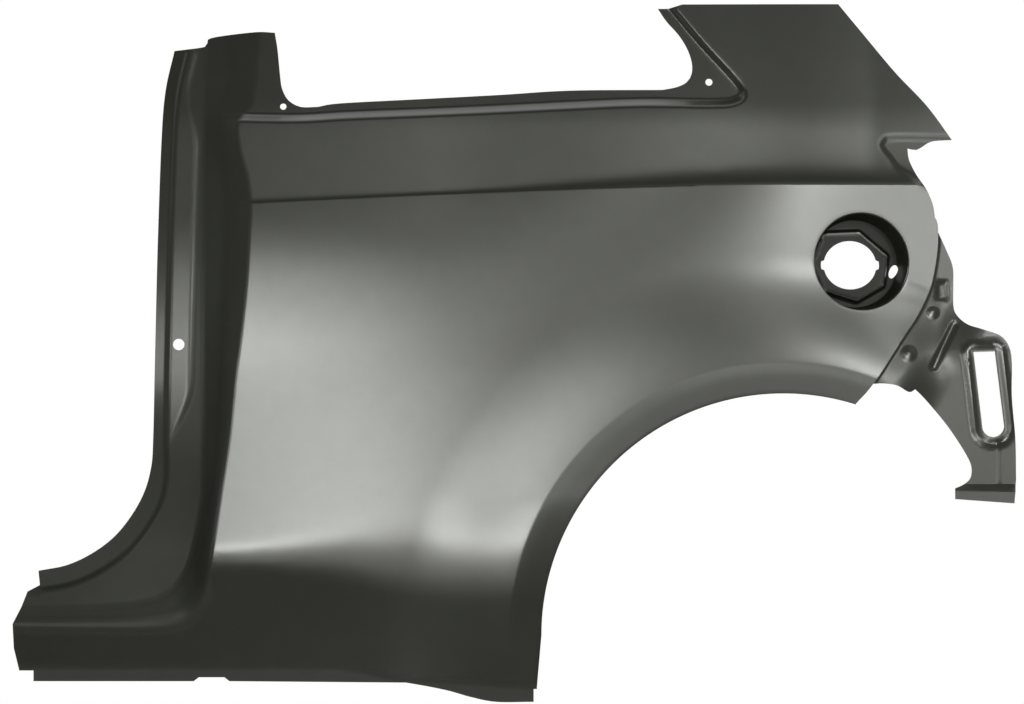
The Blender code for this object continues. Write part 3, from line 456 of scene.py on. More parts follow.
def arch_row(extra, begin_angle, end_angle, spacing=EDGE_STEP):
    """Points round the wheel arch, at a distance outside its edge."""
    radius = ARCH_RADIUS + extra
    count = max(2, round(radius * abs(end_angle - begin_angle) / spacing))
    angles = np.linspace(begin_angle, end_angle, count + 1)
    return np.column_stack([ARCH_X + radius * np.cos(angles), ARCH_Z + radius * np.sin(angles)])


def arch_leg_x(z, extra=0.0):
    """Where the arch's front leg lies at a height below the axis."""
    return ARCH_X - ARCH_RADIUS - extra + ARCH_LEG_LEAN * (z - ARCH_Z)


def shoulder_z(x):
    """Height of the shoulder crease, falling forward as the power 1.5 of the way ahead."""
    ahead = np.maximum(ARCH_X - x, 0.0) / SHOULDER_FALL_LENGTH
    return SHOULDER_HEIGHT - SHOULDER_FALL * ahead ** 1.5


def flange_top_z(x):
    """Height where the sill's lower flange bends into the tucked-under face."""
    return (SILL_FLANGE_TOP - SILL_FLANGE_FALL * soft_step(x, *SILL_FLANGE_FALLS)
            - REAR_FLANGE_FALL * soft_step(x, *REAR_FLANGE_FALLS))


def door_flange_width(z):
    """Width of the door aperture's weld flange, which is wider along the sill."""
    return SILL_DOOR_FLANGE_WIDTH + (DOOR_FLANGE_WIDTH - SILL_DOOR_FLANGE_WIDTH) * soft_step(
        z, *DOOR_FLANGE_WIDENS)


def pad_reach(z):
    """How far the pillar's flat pad reaches from the door edge."""
    width = door_flange_width(z)
    full = PAD_REACH + (PAD_HEAD_REACH - PAD_REACH) * soft_step(z, *PAD_HEAD)
    return width + (full - width) * soft_step(z, *PAD_FOOT)


def jamb_share(share):
    """The jamb's rise from its foot to the shut line, with a crease between two slopes."""
    upper = (1 - JAMB_STEEPNESS * JAMB_CREASE) / (1 - JAMB_CREASE)
    return JAMB_STEEPNESS * share - (JAMB_STEEPNESS - upper) * soft_ramp(
        share - JAMB_CREASE, JAMB_CREASE_BEND)


def side_offset(x, z):
    """Body side below the crease: the bulge less a parabola in height and the two sweeps in
    plan, blended into the flatter arch plane by a step over the flare's width."""
    sweep = (PLAN_SWEEP * (np.maximum(x - PLAN_SWEEP_START, 0.0) / PLAN_SWEEP_LENGTH) ** 2
             + REAR_SWEEP * (np.maximum(x - REAR_SWEEP_START, 0.0) / REAR_SWEEP_LENGTH) ** 2.8)
    upper_curve = FRONT_SIDE_CURVE + (REAR_SIDE_CURVE - FRONT_SIDE_CURVE) * soft_step(
        x, LEDGE_START, LEDGE_FULL)
    rise = z - BULGE_HEIGHT
    body = BODY_BULGE - np.where(rise > 0, upper_curve, LOWER_SIDE_CURVE) * rise ** 2 - sweep
    arch_plane = BODY_BULGE + ARCH_PLANE_LIFT - ARCH_PLANE_SWEEP * sweep
    reach = arch_distance(x, z) - ARCH_RADIUS - ARCH_BAND_WIDTH
    flare = 1.0 - soft_step(reach, ARCH_FLARE_START, ARCH_FLARE_WIDTH)
    return body + (arch_plane - body) * flare


def tuck_line(x):
    """Height and rounding radius of the line where the side tucks under to the sill."""
    softness = soft_step(x, *TUCK_SOFTENS)
    return (TUCK_HEIGHT + TUCK_RISE * x,
            FRONT_TUCK_RADIUS + (REAR_TUCK_RADIUS - FRONT_TUCK_RADIUS) * softness)


def skin_offset(x, z):
    """The outer skin: the body side, tucked under by a soft ramp, dropped over the arch band,
    and above the crease stepped in by an exponential ledge and two straight slopes."""
    crease = shoulder_z(x)
    lower = side_offset(x, np.minimum(z, crease))
    tuck_z, tuck_radius = tuck_line(x)
    tuck = soft_ramp(tuck_z - z, tuck_radius) / (tuck_z - flange_top_z(x))
    tuck = 1.0 - soft_ramp(1.0 - tuck, TUCK_END_ROUNDING)
    band = soft_ramp(ARCH_RADIUS + ARCH_BAND_WIDTH - arch_distance(x, z), ARCH_BAND_BEND)
    lower = lower - ARCH_BAND_DROP * band / ARCH_BAND_WIDTH
    lower = lower + (PANEL_THICKNESS - lower) * tuck
    above = np.maximum(z - crease, 0.0)
    growth = soft_step(x, LEDGE_START, LEDGE_FULL)
    ledge = FRONT_LEDGE + (REAR_LEDGE - FRONT_LEDGE) * growth
    ledge_width = FRONT_LEDGE_WIDTH + (REAR_LEDGE_WIDTH - FRONT_LEDGE_WIDTH) * growth
    shoulder = (ledge * (1 - np.exp(-above / ledge_width)) + SHOULDER_SLOPE * above
                + (PILLAR_SLOPE - SHOULDER_SLOPE) * soft_ramp(z - BELT_HEIGHT, BELT_BEND))
    return lower - np.where(z > crease, shoulder, 0.0)


def panel_offset(points, lines):
    """The whole outer face: the skin, less the window wall and the lamp pocket, blended into
    the door jamb's shelf by the share of the way from the shut line to the jamb's foot."""
    x, z = points[:, 0], points[:, 1]
    glass = line_distance(points, lines["glass"])
    wall = soft_ramp(glass, GLASS_BEND) - soft_ramp(glass - GLASS_WALL_WIDTH, GLASS_BEND)
    upper = skin_offset(x, z) - GLASS_DEPTH * wall / GLASS_WALL_WIDTH
    lamp = line_distance(points, lines["lamp"])
    upper = upper - LAMP_POCKET_DEPTH * soft_step(lamp, 0.0, LAMP_WALL_WIDTH)
    from_foot = line_distance(points, lines["foot"])
    in_jamb = soft_ramp(-line_distance(points, lines["shut"]), SHUT_BEND)
    on_wall = soft_ramp(from_foot, FOOT_BEND)
    jamb = jamb_share(in_jamb / np.maximum(in_jamb + on_wall, 1e-6))
    edge = np.abs(line_distance(points, lines["door"]))
    width = door_flange_width(z)
    past_flange = soft_step(edge, width - DOOR_FLANGE_BEND, width + DOOR_FLANGE_BEND)
    pillar = soft_step(z, PILLAR_FOOT_Z, PILLAR_FREE_Z)
    pillar_x = np.full_like(x, SHUT_LINE[-1][0])
    pillar_skin = skin_offset(pillar_x, np.maximum(z, PILLAR_FREE_Z)) + FRONT_LEDGE * (
        1 - np.exp(-np.maximum(z - shoulder_z(pillar_x), 0.0) / FRONT_LEDGE_WIDTH))
    pillar_level = pillar_skin - JAMB_DEPTH - DOOR_FLANGE_STEP
    tilt = DOOR_FLANGE_TILT * (1 - np.minimum(edge / width, 1.0))
    flange_level = PANEL_THICKNESS + (pillar_level - tilt - PANEL_THICKNESS) * pillar
    reach = pad_reach(z)
    past_pad = soft_step(edge, reach - 0.5 * PAD_EDGE, reach + 0.5 * PAD_EDGE)
    across = edge / np.maximum(edge + np.maximum(-from_foot, 0.0), 1e-6)
    sill_slope = SILL_TOP_SLOPE * across * (1 - pillar)
    shelf = (flange_level + (DOOR_FLANGE_STEP * pillar + sill_slope) * past_flange
             - PAD_STEP * past_pad * soft_step(z, *PAD_FOOT))
    return upper + (shelf - upper) * jamb


def inside_loop(points, loop):
    """Whether a line to the right from each point crosses the closed loop an odd number of
    times."""
    inside = np.zeros(len(points), dtype=bool)
    for begin, end in zip(loop, np.roll(loop, -1, axis=0)):
        if begin[1] != end[1]:
            spans_row = (begin[1] > points[:, 1]) != (end[1] > points[:, 1])
            crossing = begin[0] + (points[:, 1] - begin[1]) * (end[0] - begin[0]) / (
                end[1] - begin[1])
            inside ^= spans_row & (points[:, 0] < crossing)
    return inside


def plan_mesh(outline, holes, rows, spacing):
    """Triangles over a trimmed plan: its outline, holes and bend rows, and a lattice of points
    between them, joined by Delaunay's rule. Also gives each outline and hole point's index."""
    kept_rows = [row[inside_loop(row, outline)] for row in rows]
    low, high = outline.min(axis=0), outline.max(axis=0)
    across, up = np.meshgrid(np.arange(low[0], high[0], spacing),
                             np.arange(low[1], high[1], 0.87 * spacing))
    across[1::2] += 0.5 * spacing
    lattice = np.column_stack([across.ravel(), up.ravel()])
    lattice = lattice[inside_loop(lattice, outline)]
    for line in [*kept_rows, closed_row(outline), *[closed_row(hole) for hole in holes]]:
        if len(line) > 1:
            near = ((lattice > line.min(axis=0) - spacing)
                    & (lattice < line.max(axis=0) + spacing)).all(axis=1)
            close = np.zeros(len(lattice), dtype=bool)
            close[near] = np.abs(line_distance(lattice[near], line)) < 0.6 * spacing
            lattice = lattice[~close]
    loops = [outline, *holes]
    points = np.vstack([*loops, *kept_rows, lattice])
    edges, first = [], 0
    for loop in loops:
        ends = first + np.arange(len(loop))
        edges.append(np.column_stack([ends, np.roll(ends, -1)]))
        first += len(loop)
    for row in kept_rows:
        joined = np.flatnonzero(np.linalg.norm(np.diff(row, axis=0), axis=1) < 3 * spacing)
        edges.append(first + np.column_stack([joined, joined + 1]))
        first += len(row)
    result = delaunay_2d_cdt([Vector(point) for point in points.tolist()],
                             np.vstack(edges).tolist(), [], 0, 0.03 * spacing)
    plan = np.array([tuple(spot) for spot in result[0]])
    triangles = np.array(result[2])
    centres = plan[triangles].mean(axis=1)
    keep = inside_loop(centres, outline)
    for hole in holes:
        keep &= ~inside_loop(centres, hole)
    triangles = triangles[keep]
    first_side = plan[triangles[:, 1]] - plan[triangles[:, 0]]
    second_side = plan[triangles[:, 2]] - plan[triangles[:, 0]]
    doubled = first_side[:, 0] * second_side[:, 1] - first_side[:, 1] * second_side[:, 0]
    triangles[doubled < 0] = triangles[doubled < 0][:, ::-1]
    triangles = triangles[np.abs(doubled) > SLIVER_AREA]
    index_of = np.zeros(sum(len(loop) for loop in loops), dtype=int)
    for made, sources in enumerate(result[3]):
        for source in sources:
            if source < len(index_of):
                index_of[source] = made
    return plan, triangles, np.split(index_of, np.cumsum([len(loop) for loop in loops])[:-1])


def folded_lip(places, path, toward, inboard, depth, begin_angle, closed):
    """A turned lip: a quarter circle of the fold radius and a straight wall, carried along the
    path of edge points. Gives the added points and their quads."""
    angles = np.linspace(begin_angle, 0.5 * math.pi, 6)[1:]
    out = FOLD_RADIUS * (np.sin(angles) - math.sin(begin_angle))
    down = FOLD_RADIUS * (math.cos(begin_angle) - np.cos(angles))
    out = np.append(out, [out[-1], out[-1]])
    down = np.append(down, [0.5 * (down[-1] + depth), depth])
    base = places[path]
    added = (base[:, None, :] + out[None, :, None] * toward[:, None, :]
             + down[None, :, None] * inboard)
    index = np.column_stack([path, len(places) + np.arange(added[..., 0].size).reshape(
        len(path), len(out))])
    if closed:
        index = np.vstack([index, index[:1]])
    quads = np.stack([index[1:, :-1], index[:-1, :-1], index[:-1, 1:], index[1:, 1:]], axis=-1)
    if closed:
        quads = quads[..., ::-1]
    return added.reshape(-1, 3), quads.reshape(-1, 4)


def sheet_metal(name, places, faces, thickness, paint):
    """A pressed sheet: the outer face with its thickness added inboard, smooth but for the
    trimmed edges."""
    mesh = bpy.data.meshes.new(name)
    mesh.from_pydata(places.tolist(), [], faces)
    mesh.shade_smooth()
    sheet = bpy.data.objects.new(name, mesh)
    bpy.context.scene.collection.objects.link(sheet)
    solidify = sheet.modifiers.new("Sheet thickness", "SOLIDIFY")
    solidify.thickness = thickness
    solidify.offset = -1.0
    solidify.use_even_offset = True
    solidify.use_quality_normals = True
    bpy.context.view_layer.update()
    solid = bpy.data.meshes.new_from_object(
        sheet.evaluated_get(bpy.context.evaluated_depsgraph_get()))
    sheet.modifiers.clear()
    sheet.data = solid
    solid.name = name
    solid.shade_smooth()
    solid.set_sharp_from_angle(angle=SHARP_EDGE_ANGLE)
    solid.materials.clear()
    solid.materials.append(paint)
    return sheet


def primer_paint(name, colour, gloss, roughness, orange_peel, haze):
    """Baked dip primer: a dark colour with a fine orange peel, clouded at three scales, under a
    clear skin of resin. The resin's share is one less the rubbed attribute, times one plus the
    haze's clouds, and the primer is rougher where it is rubbed."""
    paint = bpy.data.materials.new(name)
    paint.use_nodes = True
    shader = paint.node_tree.nodes["Principled BSDF"]
    shader.inputs["IOR"].default_value = PRIMER_IOR
    shader.inputs["Specular IOR Level"].default_value = gloss
    shader.inputs["Coat IOR"].default_value = RESIN_IOR
    shader.inputs["Coat Roughness"].default_value = roughness
    begin = Wire(paint.node_tree, None)
    spot = begin.node("ShaderNodeTexCoord", "Object", {})
    broad, hand, fine, peel = [
        spot.node("ShaderNodeTexNoise", "Fac", {"Vector": spot, "Scale": scale,
                                                "Detail": detail, "Roughness": rough})
        for scale, detail, rough in (BROAD_CLOUDS, HAND_CLOUDS, FINE_CLOUDS, ORANGE_PEEL)]
    shade = 0.55 + 0.5 * broad + 0.25 * hand + 0.15 * fine
    clouded = begin.node("ShaderNodeCombineColor", "Color", {
        "Red": colour[0] * shade, "Green": colour[1] * shade, "Blue": colour[2] * shade})
    clouded.into(shader, "Base Color")
    rubbed = begin.node("ShaderNodeAttribute", "Fac", {}, attribute_name="rubbed")
    marks = haze * (broad - 0.5) + haze * (hand - 0.5) + 0.5 * haze * (fine - 0.5)
    resin = (1.0 - rubbed) * (1.0 + marks)
    resin.into(shader, "Coat Weight")
    roughened = roughness + ROUGHER_WHERE_RUBBED * rubbed - ROUGHER_WHERE_CLOUDED * marks
    roughened.into(shader, "Roughness")
    bump = spot.node("ShaderNodeBump", "Normal",
                     {"Height": peel, "Strength": 1.0, "Distance": orange_peel})
    bump.into(shader, "Normal")
    return paint


def mesh_points(piece):
    """Where the piece's mesh has its points, one row of x, y and z for each."""
    points = np.empty(3 * len(piece.data.vertices))
    piece.data.vertices.foreach_get("co", points)
    return points.reshape(-1, 3)


def rub(piece, amount):
    """Keeps how far the primer is rubbed, from nought to one, at each point of the mesh."""
    piece.data.attributes.new("rubbed", "FLOAT", "POINT").data.foreach_set("value", amount)


def filler_frame(lines):
    """Centre of the filler hole on the skin, and its plane's two directions and inboard axis,
    from the slopes across and up."""
    step = 0.02
    stencil = step * np.array([(0, 0), (1, 0), (-1, 0), (0, 1), (0, -1)]) + (FILLER_X, FILLER_Z)
    out = panel_offset(stencil, lines)
    centre = np.array([FILLER_X, -out[0], FILLER_Z])
    across = np.array([2 * step, out[2] - out[1], 0.0])
    across /= np.linalg.norm(across)
    inboard = np.cross(np.array([0.0, out[4] - out[3], 2 * step]), across)
    inboard *= np.sign(inboard[1]) / np.linalg.norm(inboard)
    rise = np.cross(across, inboard)
    return centre, across, rise * np.sign(rise[2]), inboard


def filler_ring(radius, count):
    """A circle round the filler axis, seen in plan."""
    centre, across, rise, _ = filler_axes
    circle = ring((0, 0), radius, count)
    return (centre + circle[:, :1] * across + circle[:, 1:] * rise)[:, [0, 2]]


panel_lines = {name: smooth_run(knots, LINE_STEP) for name, knots in (
    ("shut", SHUT_LINE), ("foot", JAMB_FOOT), ("glass", GLASS_LINE), ("lamp", LAMP_LINE),
    ("door", DOOR_EDGE))}
filler_axes = filler_frame(panel_lines)

# Bend rows: eleven across each rounded bend, so that the bends shade smoothly
panel_rows = []
ACROSS_BEND = (-1.9, -1.35, -1.0, -0.67, -0.33, 0.0, 0.33, 0.67, 1.0, 1.35, 1.9)
for name, bend, walls in (("shut", SHUT_BEND, (0.0,)), ("foot", FOOT_BEND, (0.0,)),
                          ("glass", GLASS_BEND, (0.0, GLASS_WALL_WIDTH))):
    panel_rows += [offset_line(panel_lines[name], wall + share * bend)
                   for wall in walls for share in ACROSS_BEND]
panel_rows += [offset_line(panel_lines["lamp"], share * LAMP_WALL_WIDTH)
               for share in (-0.4, -0.2, 0.0, 0.15, 0.3, 0.5, 0.7, 0.85, 1.0, 1.2, 1.4)]
panel_rows += [offset_line(panel_lines["door"], door_flange_width, share * DOOR_FLANGE_BEND)
               for share in ACROSS_BEND]
pillar_line = panel_lines["door"][panel_lines["door"][:, 1] > PAD_FOOT[0] + 0.01]
panel_rows += [offset_line(pillar_line, pad_reach, share * PAD_EDGE)
               for share in (-0.9, -0.5, -0.25, 0.0, 0.25, 0.5, 0.9)]
panel_rows += [between_lines(panel_lines["foot"], panel_lines["shut"], JAMB_CREASE + share)
               for share in (-JAMB_CREASE_BEND, 0.0, JAMB_CREASE_BEND)]
row_x = np.arange(SILL_END[4][0], TAILGATE_EDGE[0][0], EDGE_STEP)
panel_rows += [np.column_stack([row_x, shoulder_z(row_x) + rise])
               for rise in (-0.007, -0.0035, -0.0015, 0.0, 0.0012, 0.003, 0.006, 0.010, 0.016,
                            0.024)]
row_x = row_x[row_x < ARCH_X - ARCH_RADIUS - ARCH_BAND_WIDTH]
tuck_z, tuck_radius = tuck_line(row_x)
panel_rows += [np.column_stack([row_x, tuck_z + share * tuck_radius]) for share in ACROSS_BEND]
row_x = np.arange(SILL_END[4][0], ARCH_X - ARCH_RADIUS, EDGE_STEP)
panel_rows += [np.column_stack([row_x, flange_top_z(row_x) + rise])
               for rise in (-0.006, -0.0035, -0.0015, 0.0, 0.0015, 0.0035, 0.006)]
for extra in (0.006, *[ARCH_BAND_WIDTH + rise for rise in (
        -0.006, -0.0035, -0.002, -0.001, 0.0, 0.001, 0.002, 0.0035, 0.006)]):
    leg_z = np.arange(HEEL_Z, ARCH_Z, EDGE_STEP)
    panel_rows.append(np.vstack([np.column_stack([arch_leg_x(leg_z, extra), leg_z]),
                                 arch_row(extra, math.pi, ARCH_ROW_END)]))
panel_rows += [closed_row(filler_ring(FILLER_RADIUS + extra, FILLER_POINTS))
               for extra in (0.006, 0.012)]

# Trim: the outline with the arch's fold begun, and the filler and locating holes
band_angle = math.atan(ARCH_BAND_DROP / ARCH_BAND_WIDTH)
fold_start = FOLD_RADIUS * (1 - math.sin(band_angle))
leg = straight_run([(arch_leg_x(HEEL_Z, fold_start), HEEL_Z),
                    (arch_leg_x(ARCH_Z, fold_start), ARCH_Z)], EDGE_STEP)
arch = arch_row(fold_start, math.pi, ARCH_REAR_ANGLE)
heel = straight_run([REAR_DROP[-1], (REAR_DROP[-1][0], HEEL_Z), tuple(leg[0])], EDGE_STEP)
before_leg = [smooth_run(DOOR_EDGE, EDGE_STEP), straight_run(SILL_END, EDGE_STEP),
              straight_run(SILL_FOOT, EDGE_STEP), smooth_run(REAR_DROP, EDGE_STEP), heel]
after_arch = [smooth_run(knots, EDGE_STEP) for knots in (
    [tuple(arch[-1])] + REAR_EDGE, LAMP_EDGE, LAMP_TOP, TAILGATE_EDGE)]
after_arch.append(straight_run(PILLAR_CUT, EDGE_STEP))
after_arch += [smooth_run(knots, EDGE_STEP) for knots in (
    WINDOW_REAR, WINDOW_FOOT, WINDOW_FRONT, PILLAR_HEAD)]
outline = np.vstack([run[:-1] for run in [*before_leg, leg, arch, *after_arch]])
panel_holes = [filler_ring(FILLER_RADIUS + FOLD_RADIUS, FILLER_POINTS)]
panel_holes += [ring(hole[:2], hole[2], 24) for hole in [*WINDOW_HOLES, PILLAR_HOLE]]
plan, triangles, loop_index = plan_mesh(outline, panel_holes, panel_rows, FIELD_STEP)
panel_places = np.column_stack([plan[:, 0], -panel_offset(plan, panel_lines), plan[:, 1]])

# Turned lips: 14 mm round the wheel arch and 5 mm round the filler hole
arch_start = sum(len(run) - 1 for run in before_leg)
arch_count = len(leg) - 1 + len(arch)
arch_path = loop_index[0][arch_start:arch_start + arch_count]
arch_run = plan[arch_path]
arch_spans = np.gradient(arch_run, axis=0)
arch_spans /= np.linalg.norm(arch_spans, axis=1)[:, None]
toward_wheel = np.column_stack([arch_spans[:, 1], np.zeros(len(arch_run)), -arch_spans[:, 0]])
arch_lip, arch_quads = folded_lip(panel_places, arch_path, toward_wheel, np.array([0, 1.0, 0]),
                                  ARCH_LIP, band_angle, False)
panel_places = np.vstack([panel_places, arch_lip])
filler_centre, filler_across, filler_rise, filler_inboard = filler_axes
filler_path = loop_index[1]
from_axis = panel_places[filler_path] - filler_centre
from_axis -= (from_axis @ filler_inboard)[:, None] * filler_inboard
toward_axis = -from_axis / np.linalg.norm(from_axis, axis=1)[:, None]
hole_lip, hole_quads = folded_lip(panel_places, filler_path, toward_axis, filler_inboard,
                                  FILLER_LIP, 0.0, True)
panel_places = np.vstack([panel_places, hole_lip])

panel = sheet_metal("outer_panel", panel_places,
                    triangles.tolist() + arch_quads.tolist() + hole_quads.tolist(),
                    PANEL_THICKNESS,
                    primer_paint("panel_primer", PANEL_COLOUR, gloss=0.22, roughness=0.30,
                                 orange_peel=0.00003, haze=0.14))

# Dull are the sill's flange, the door flange low down and most of the jamb, less so the pillar's
# pad and the part behind the filler above the crease. Each share is a soft step of a distance.
JAMB_DULL_EDGE = (-0.001, 0.006)
FLANGE_DULL_EDGE = (-0.003, 0.001)
FOOT_DULL_EDGE = (0.002, 0.010)
PAD_SHINE_EDGE = (-0.004, 0.002)
CREASE_DULL_EDGE = (0.0, 0.012)
SILL_FRONT = (0.10, 0.16)
SILL_FRONT_REACH = 0.010
DOOR_FLANGE_SHINES = (0.30, 0.42)
JAMB_DULLNESS = 0.95
PAD_SHINE = 0.45
REAR_DULLNESS = 0.6
REAR_DULL_FROM = (1.045, 1.080)
corners = mesh_points(panel)[:, [0, 2]]
from_shut = line_distance(corners, panel_lines["shut"])
low_down = 1 - soft_step(corners[:, 1], *SILL_FRONT)
on_jamb = 1 - soft_step(from_shut - SILL_FRONT_REACH * low_down, *JAMB_DULL_EDGE)
from_door = np.abs(line_distance(corners, panel_lines["door"]))
on_flange = (1 - soft_step(from_door - door_flange_width(corners[:, 1]), *FLANGE_DULL_EDGE)) * (
    1 - soft_step(corners[:, 1], *DOOR_FLANGE_SHINES))
on_foot = 1 - soft_step(corners[:, 1] - flange_top_z(corners[:, 0]), *FOOT_DULL_EDGE)
on_pad = soft_step(corners[:, 1], *PAD_FOOT) * (
    1 - soft_step(from_door - pad_reach(corners[:, 1]), *PAD_SHINE_EDGE))
rubbed = np.maximum(np.maximum(on_flange, on_foot),
                    on_jamb * (JAMB_DULLNESS - PAD_SHINE * on_pad))
above_crease = soft_step(corners[:, 1] - shoulder_z(corners[:, 0]), *CREASE_DULL_EDGE)
rubbed = np.maximum(rubbed, REAR_DULLNESS * above_crease * soft_step(corners[:, 0],
                                                                     *REAR_DULL_FROM))
rub(panel, rubbed)
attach(panel, "root")
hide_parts("quarter_panel")


# Filler bowl: a deep-drawn cup of 0.8 mm steel, spot-welded by its rim behind the opening.
# A raised platform on its floor carries the oval neck hole with two clip notches, and a small
# oval hole lets the overflow hose through. Its colour is darker than the panel's, which is
# painted shade of the deep cup, and its primer is dull but for one edge.

BOWL_THICKNESS = 0.0008
BOWL_CLEARANCE = 0.003
BOWL_RIM_WIDTH = 0.012
BOWL_DEPTH = 0.042
BOWL_WALL_WIDTH = 0.010
PLATFORM_HEIGHT = 0.007
PLATFORM_WALL = 0.006
PLATFORM = [(-0.0460, 0.0411), (-0.0623, 0.0), (-0.0442, -0.0375), (0.0013, -0.0515),
            (0.0390, -0.0305), (0.0452, 0.0102), (0.0056, 0.0432)]
NECK_CENTRE = (-0.0082, -0.0024)
NECK_HOLE_LENGTH = 0.038
NECK_HOLE_HEIGHT = 0.034
NOTCH_DEPTH = 0.004
DRAIN_CENTRE = (0.0555, -0.0110)
DRAIN_HALF_LENGTH = 0.0100
DRAIN_HALF_WIDTH = 0.0055
DRAIN_TILT = math.radians(25)
BOWL_STEP = 0.0032
# The same dark primer as the panel, made darker to paint in the shade of the deep cup
BOWL_PRIMER_AND_SHADE = (0.010, 0.0105, 0.0075)
BOWL_DULLNESS = 0.88
EDGE_SHINE_STARTS = (-0.0045, -0.0020)
EDGE_SHINE_ENDS = (-0.001, 0.001)


def neck_hole(count=120):
    """An ellipse whose long half-width grows by the notch where the cosine is near one."""
    angles = np.arange(count) * 2 * math.pi / count
    notch = NOTCH_DEPTH * (np.abs(np.cos(angles)) > 0.985)
    return np.column_stack([NECK_CENTRE[0] + (NECK_HOLE_LENGTH + notch) * np.cos(angles),
                            NECK_CENTRE[1] + NECK_HOLE_HEIGHT * np.sin(angles)])


def drain_hole(count=40):
    """A small ellipse turned by its tilt."""
    angles = np.arange(count) * 2 * math.pi / count
    long_way, short_way = DRAIN_HALF_LENGTH * np.sin(angles), DRAIN_HALF_WIDTH * np.cos(angles)
    sine, cosine = math.sin(DRAIN_TILT), math.cos(DRAIN_TILT)
    return np.column_stack([DRAIN_CENTRE[0] + short_way * cosine + long_way * sine,
                            DRAIN_CENTRE[1] - short_way * sine + long_way * cosine])


def bowl_depth(u, v):
    """Depth below the mouth: the full depth past the wall's step, less the platform's height
    inside its seven-sided outline."""
    wall_top = FILLER_RADIUS + BOWL_CLEARANCE
    wall = soft_step(wall_top - np.hypot(u, v), 0.0, BOWL_WALL_WIDTH)
    inside = line_distance(np.column_stack([u, v]), closed_row(np.array(PLATFORM)))
    platform = soft_step(inside, -PLATFORM_WALL, 0.0)
    return wall * (BOWL_DEPTH - PLATFORM_HEIGHT * platform)


bowl_rim = FILLER_RADIUS + BOWL_CLEARANCE
bowl_rows = [closed_row(ring((0, 0), bowl_rim - share * BOWL_WALL_WIDTH, 130))
             for share in (0.0, 0.12, 0.25, 0.37, 0.5, 0.63, 0.75, 0.88, 1.0)]
platform_line = straight_run([*PLATFORM, PLATFORM[0]], BOWL_STEP)
bowl_rows += [offset_line(platform_line, -share * PLATFORM_WALL)
              for share in (-0.3, 0.0, 0.2, 0.4, 0.6, 0.8, 1.0, 1.3)]
bowl_plan, bowl_triangles, _ = plan_mesh(ring((0, 0), bowl_rim + BOWL_RIM_WIDTH, 130),
                                         [neck_hole(), drain_hole()], bowl_rows, BOWL_STEP)
bowl_spots = (filler_centre + bowl_plan[:, :1] * filler_across + bowl_plan[:, 1:] * filler_rise)
bowl_skin = np.column_stack([bowl_spots[:, 0], -panel_offset(bowl_spots[:, [0, 2]], panel_lines),
                             bowl_spots[:, 2]])
depth = bowl_depth(bowl_plan[:, 0], bowl_plan[:, 1])[:, None]
seat = bowl_skin + (bowl_spots - bowl_skin) * np.minimum(1.0, depth / (0.5 * BOWL_DEPTH))
bowl = sheet_metal("filler_bowl", seat + (PANEL_THICKNESS + WELD_GAP + depth) * filler_inboard,
                   bowl_triangles.tolist(), BOWL_THICKNESS,
                   primer_paint("bowl_primer", BOWL_PRIMER_AND_SHADE, gloss=0.05, roughness=0.22,
                                orange_peel=0.00003, haze=0.10))

# Dull all over but for the rounded edge of the platform, where the resin lies thick
corners = mesh_points(bowl) - filler_centre
platform_edge = line_distance(np.column_stack([corners @ filler_across, corners @ filler_rise]),
                              closed_row(np.array(PLATFORM)))
on_edge = soft_step(platform_edge, *EDGE_SHINE_STARTS) * (
    1 - soft_step(platform_edge, *EDGE_SHINE_ENDS))
rub(bowl, BOWL_DULLNESS * (1 - on_edge))
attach(bowl, "root")
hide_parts("fuel_filler_bowl")


# Rear corner bracket: a 1.2 mm pressing spot-welded under the panel's rear edge.
# Two domed bosses locate it, a bead and a raised rim round the tapered slot stiffen it, and its
# stepped foot takes the bumper. Its primer is a shade lighter.

BRACKET_THICKNESS = 0.0012
BRACKET_OVERLAP = 0.016
BRACKET_LEVEL = 0.034
BRACKET_LEVEL_X = 1.25
BRACKET_SLOPE = 0.12
BRACKET_LEAN = 0.22
BRACKET_RUN_START = 0.022
BRACKET_RUN_OUT = 0.095
BOSS_HEIGHT_SHARE = 0.30
BOSS_FULLNESS = 1.25
EDGE_JOGGLE = 0.002
EDGE_JOGGLE_WIDTH = 0.004
RIB_LINES = [[(1.232, 0.3285), (1.2515, 0.3275)], [(1.2404, 0.328), (1.2404, 0.272)]]
RIB_HEIGHT = 0.0012
RIB_HALF_WIDTH = 0.005
SLOT_RIM_HEIGHT = 0.004
FOOT_TOP = 0.270
FOOT_LIP_TOP = 0.259
FOOT_LEVEL = 0.050
FOOT_LEFT = 1.179
FOOT_RIGHT = 1.2635
BRACKET_FOOT = [(FOOT_LEFT, 0.264), (FOOT_LEFT, FOOT_LIP_TOP), (FOOT_LEFT, 0.249),
                (1.262, 0.243), (FOOT_RIGHT, FOOT_LIP_TOP), (1.265, 0.276)]
BRACKET_TAIL = [(1.265, 0.276), (1.264, 0.332), (1.259, 0.392), (1.259, 0.440), (1.255, 0.463),
                (1.243, 0.478), (1.218, 0.487), (1.197, 0.494), (1.183, 0.506), (1.178, 0.519),
                (1.178, 0.550), (1.177, 0.575), (1.168, 0.598), (1.157, 0.622)]
BRACKET_ARCH = [(1.064, 0.4105), (1.080, 0.411), (1.098, 0.408), (1.114, 0.399), (1.123, 0.403)]
BRACKET_HEEL = [(1.123, 0.403), (1.138, 0.388), (1.165, 0.356), (1.182, 0.332), (1.195, 0.311),
                (1.202, 0.295), (1.201, 0.279), (1.192, 0.270), (1.179, 0.264)]
BEAD_LINE = [(1.179, 0.493), (1.149, 0.434)]
BEAD_HALF_WIDTH = 0.008
BEAD_DEPTH = 0.004
BOSSES = [(1.149, 0.5100, 0.0100), (1.1137, 0.4525, 0.0120)]
SLOT_TOP_LEFT = (1.205, 0.455)
SLOT_TOP_RIGHT = (1.235, 0.456)
SLOT_END = (1.2327, 0.3514)
SLOT_END_RADIUS = 0.0154
SLOT_RIM_DISTANCE = 0.010
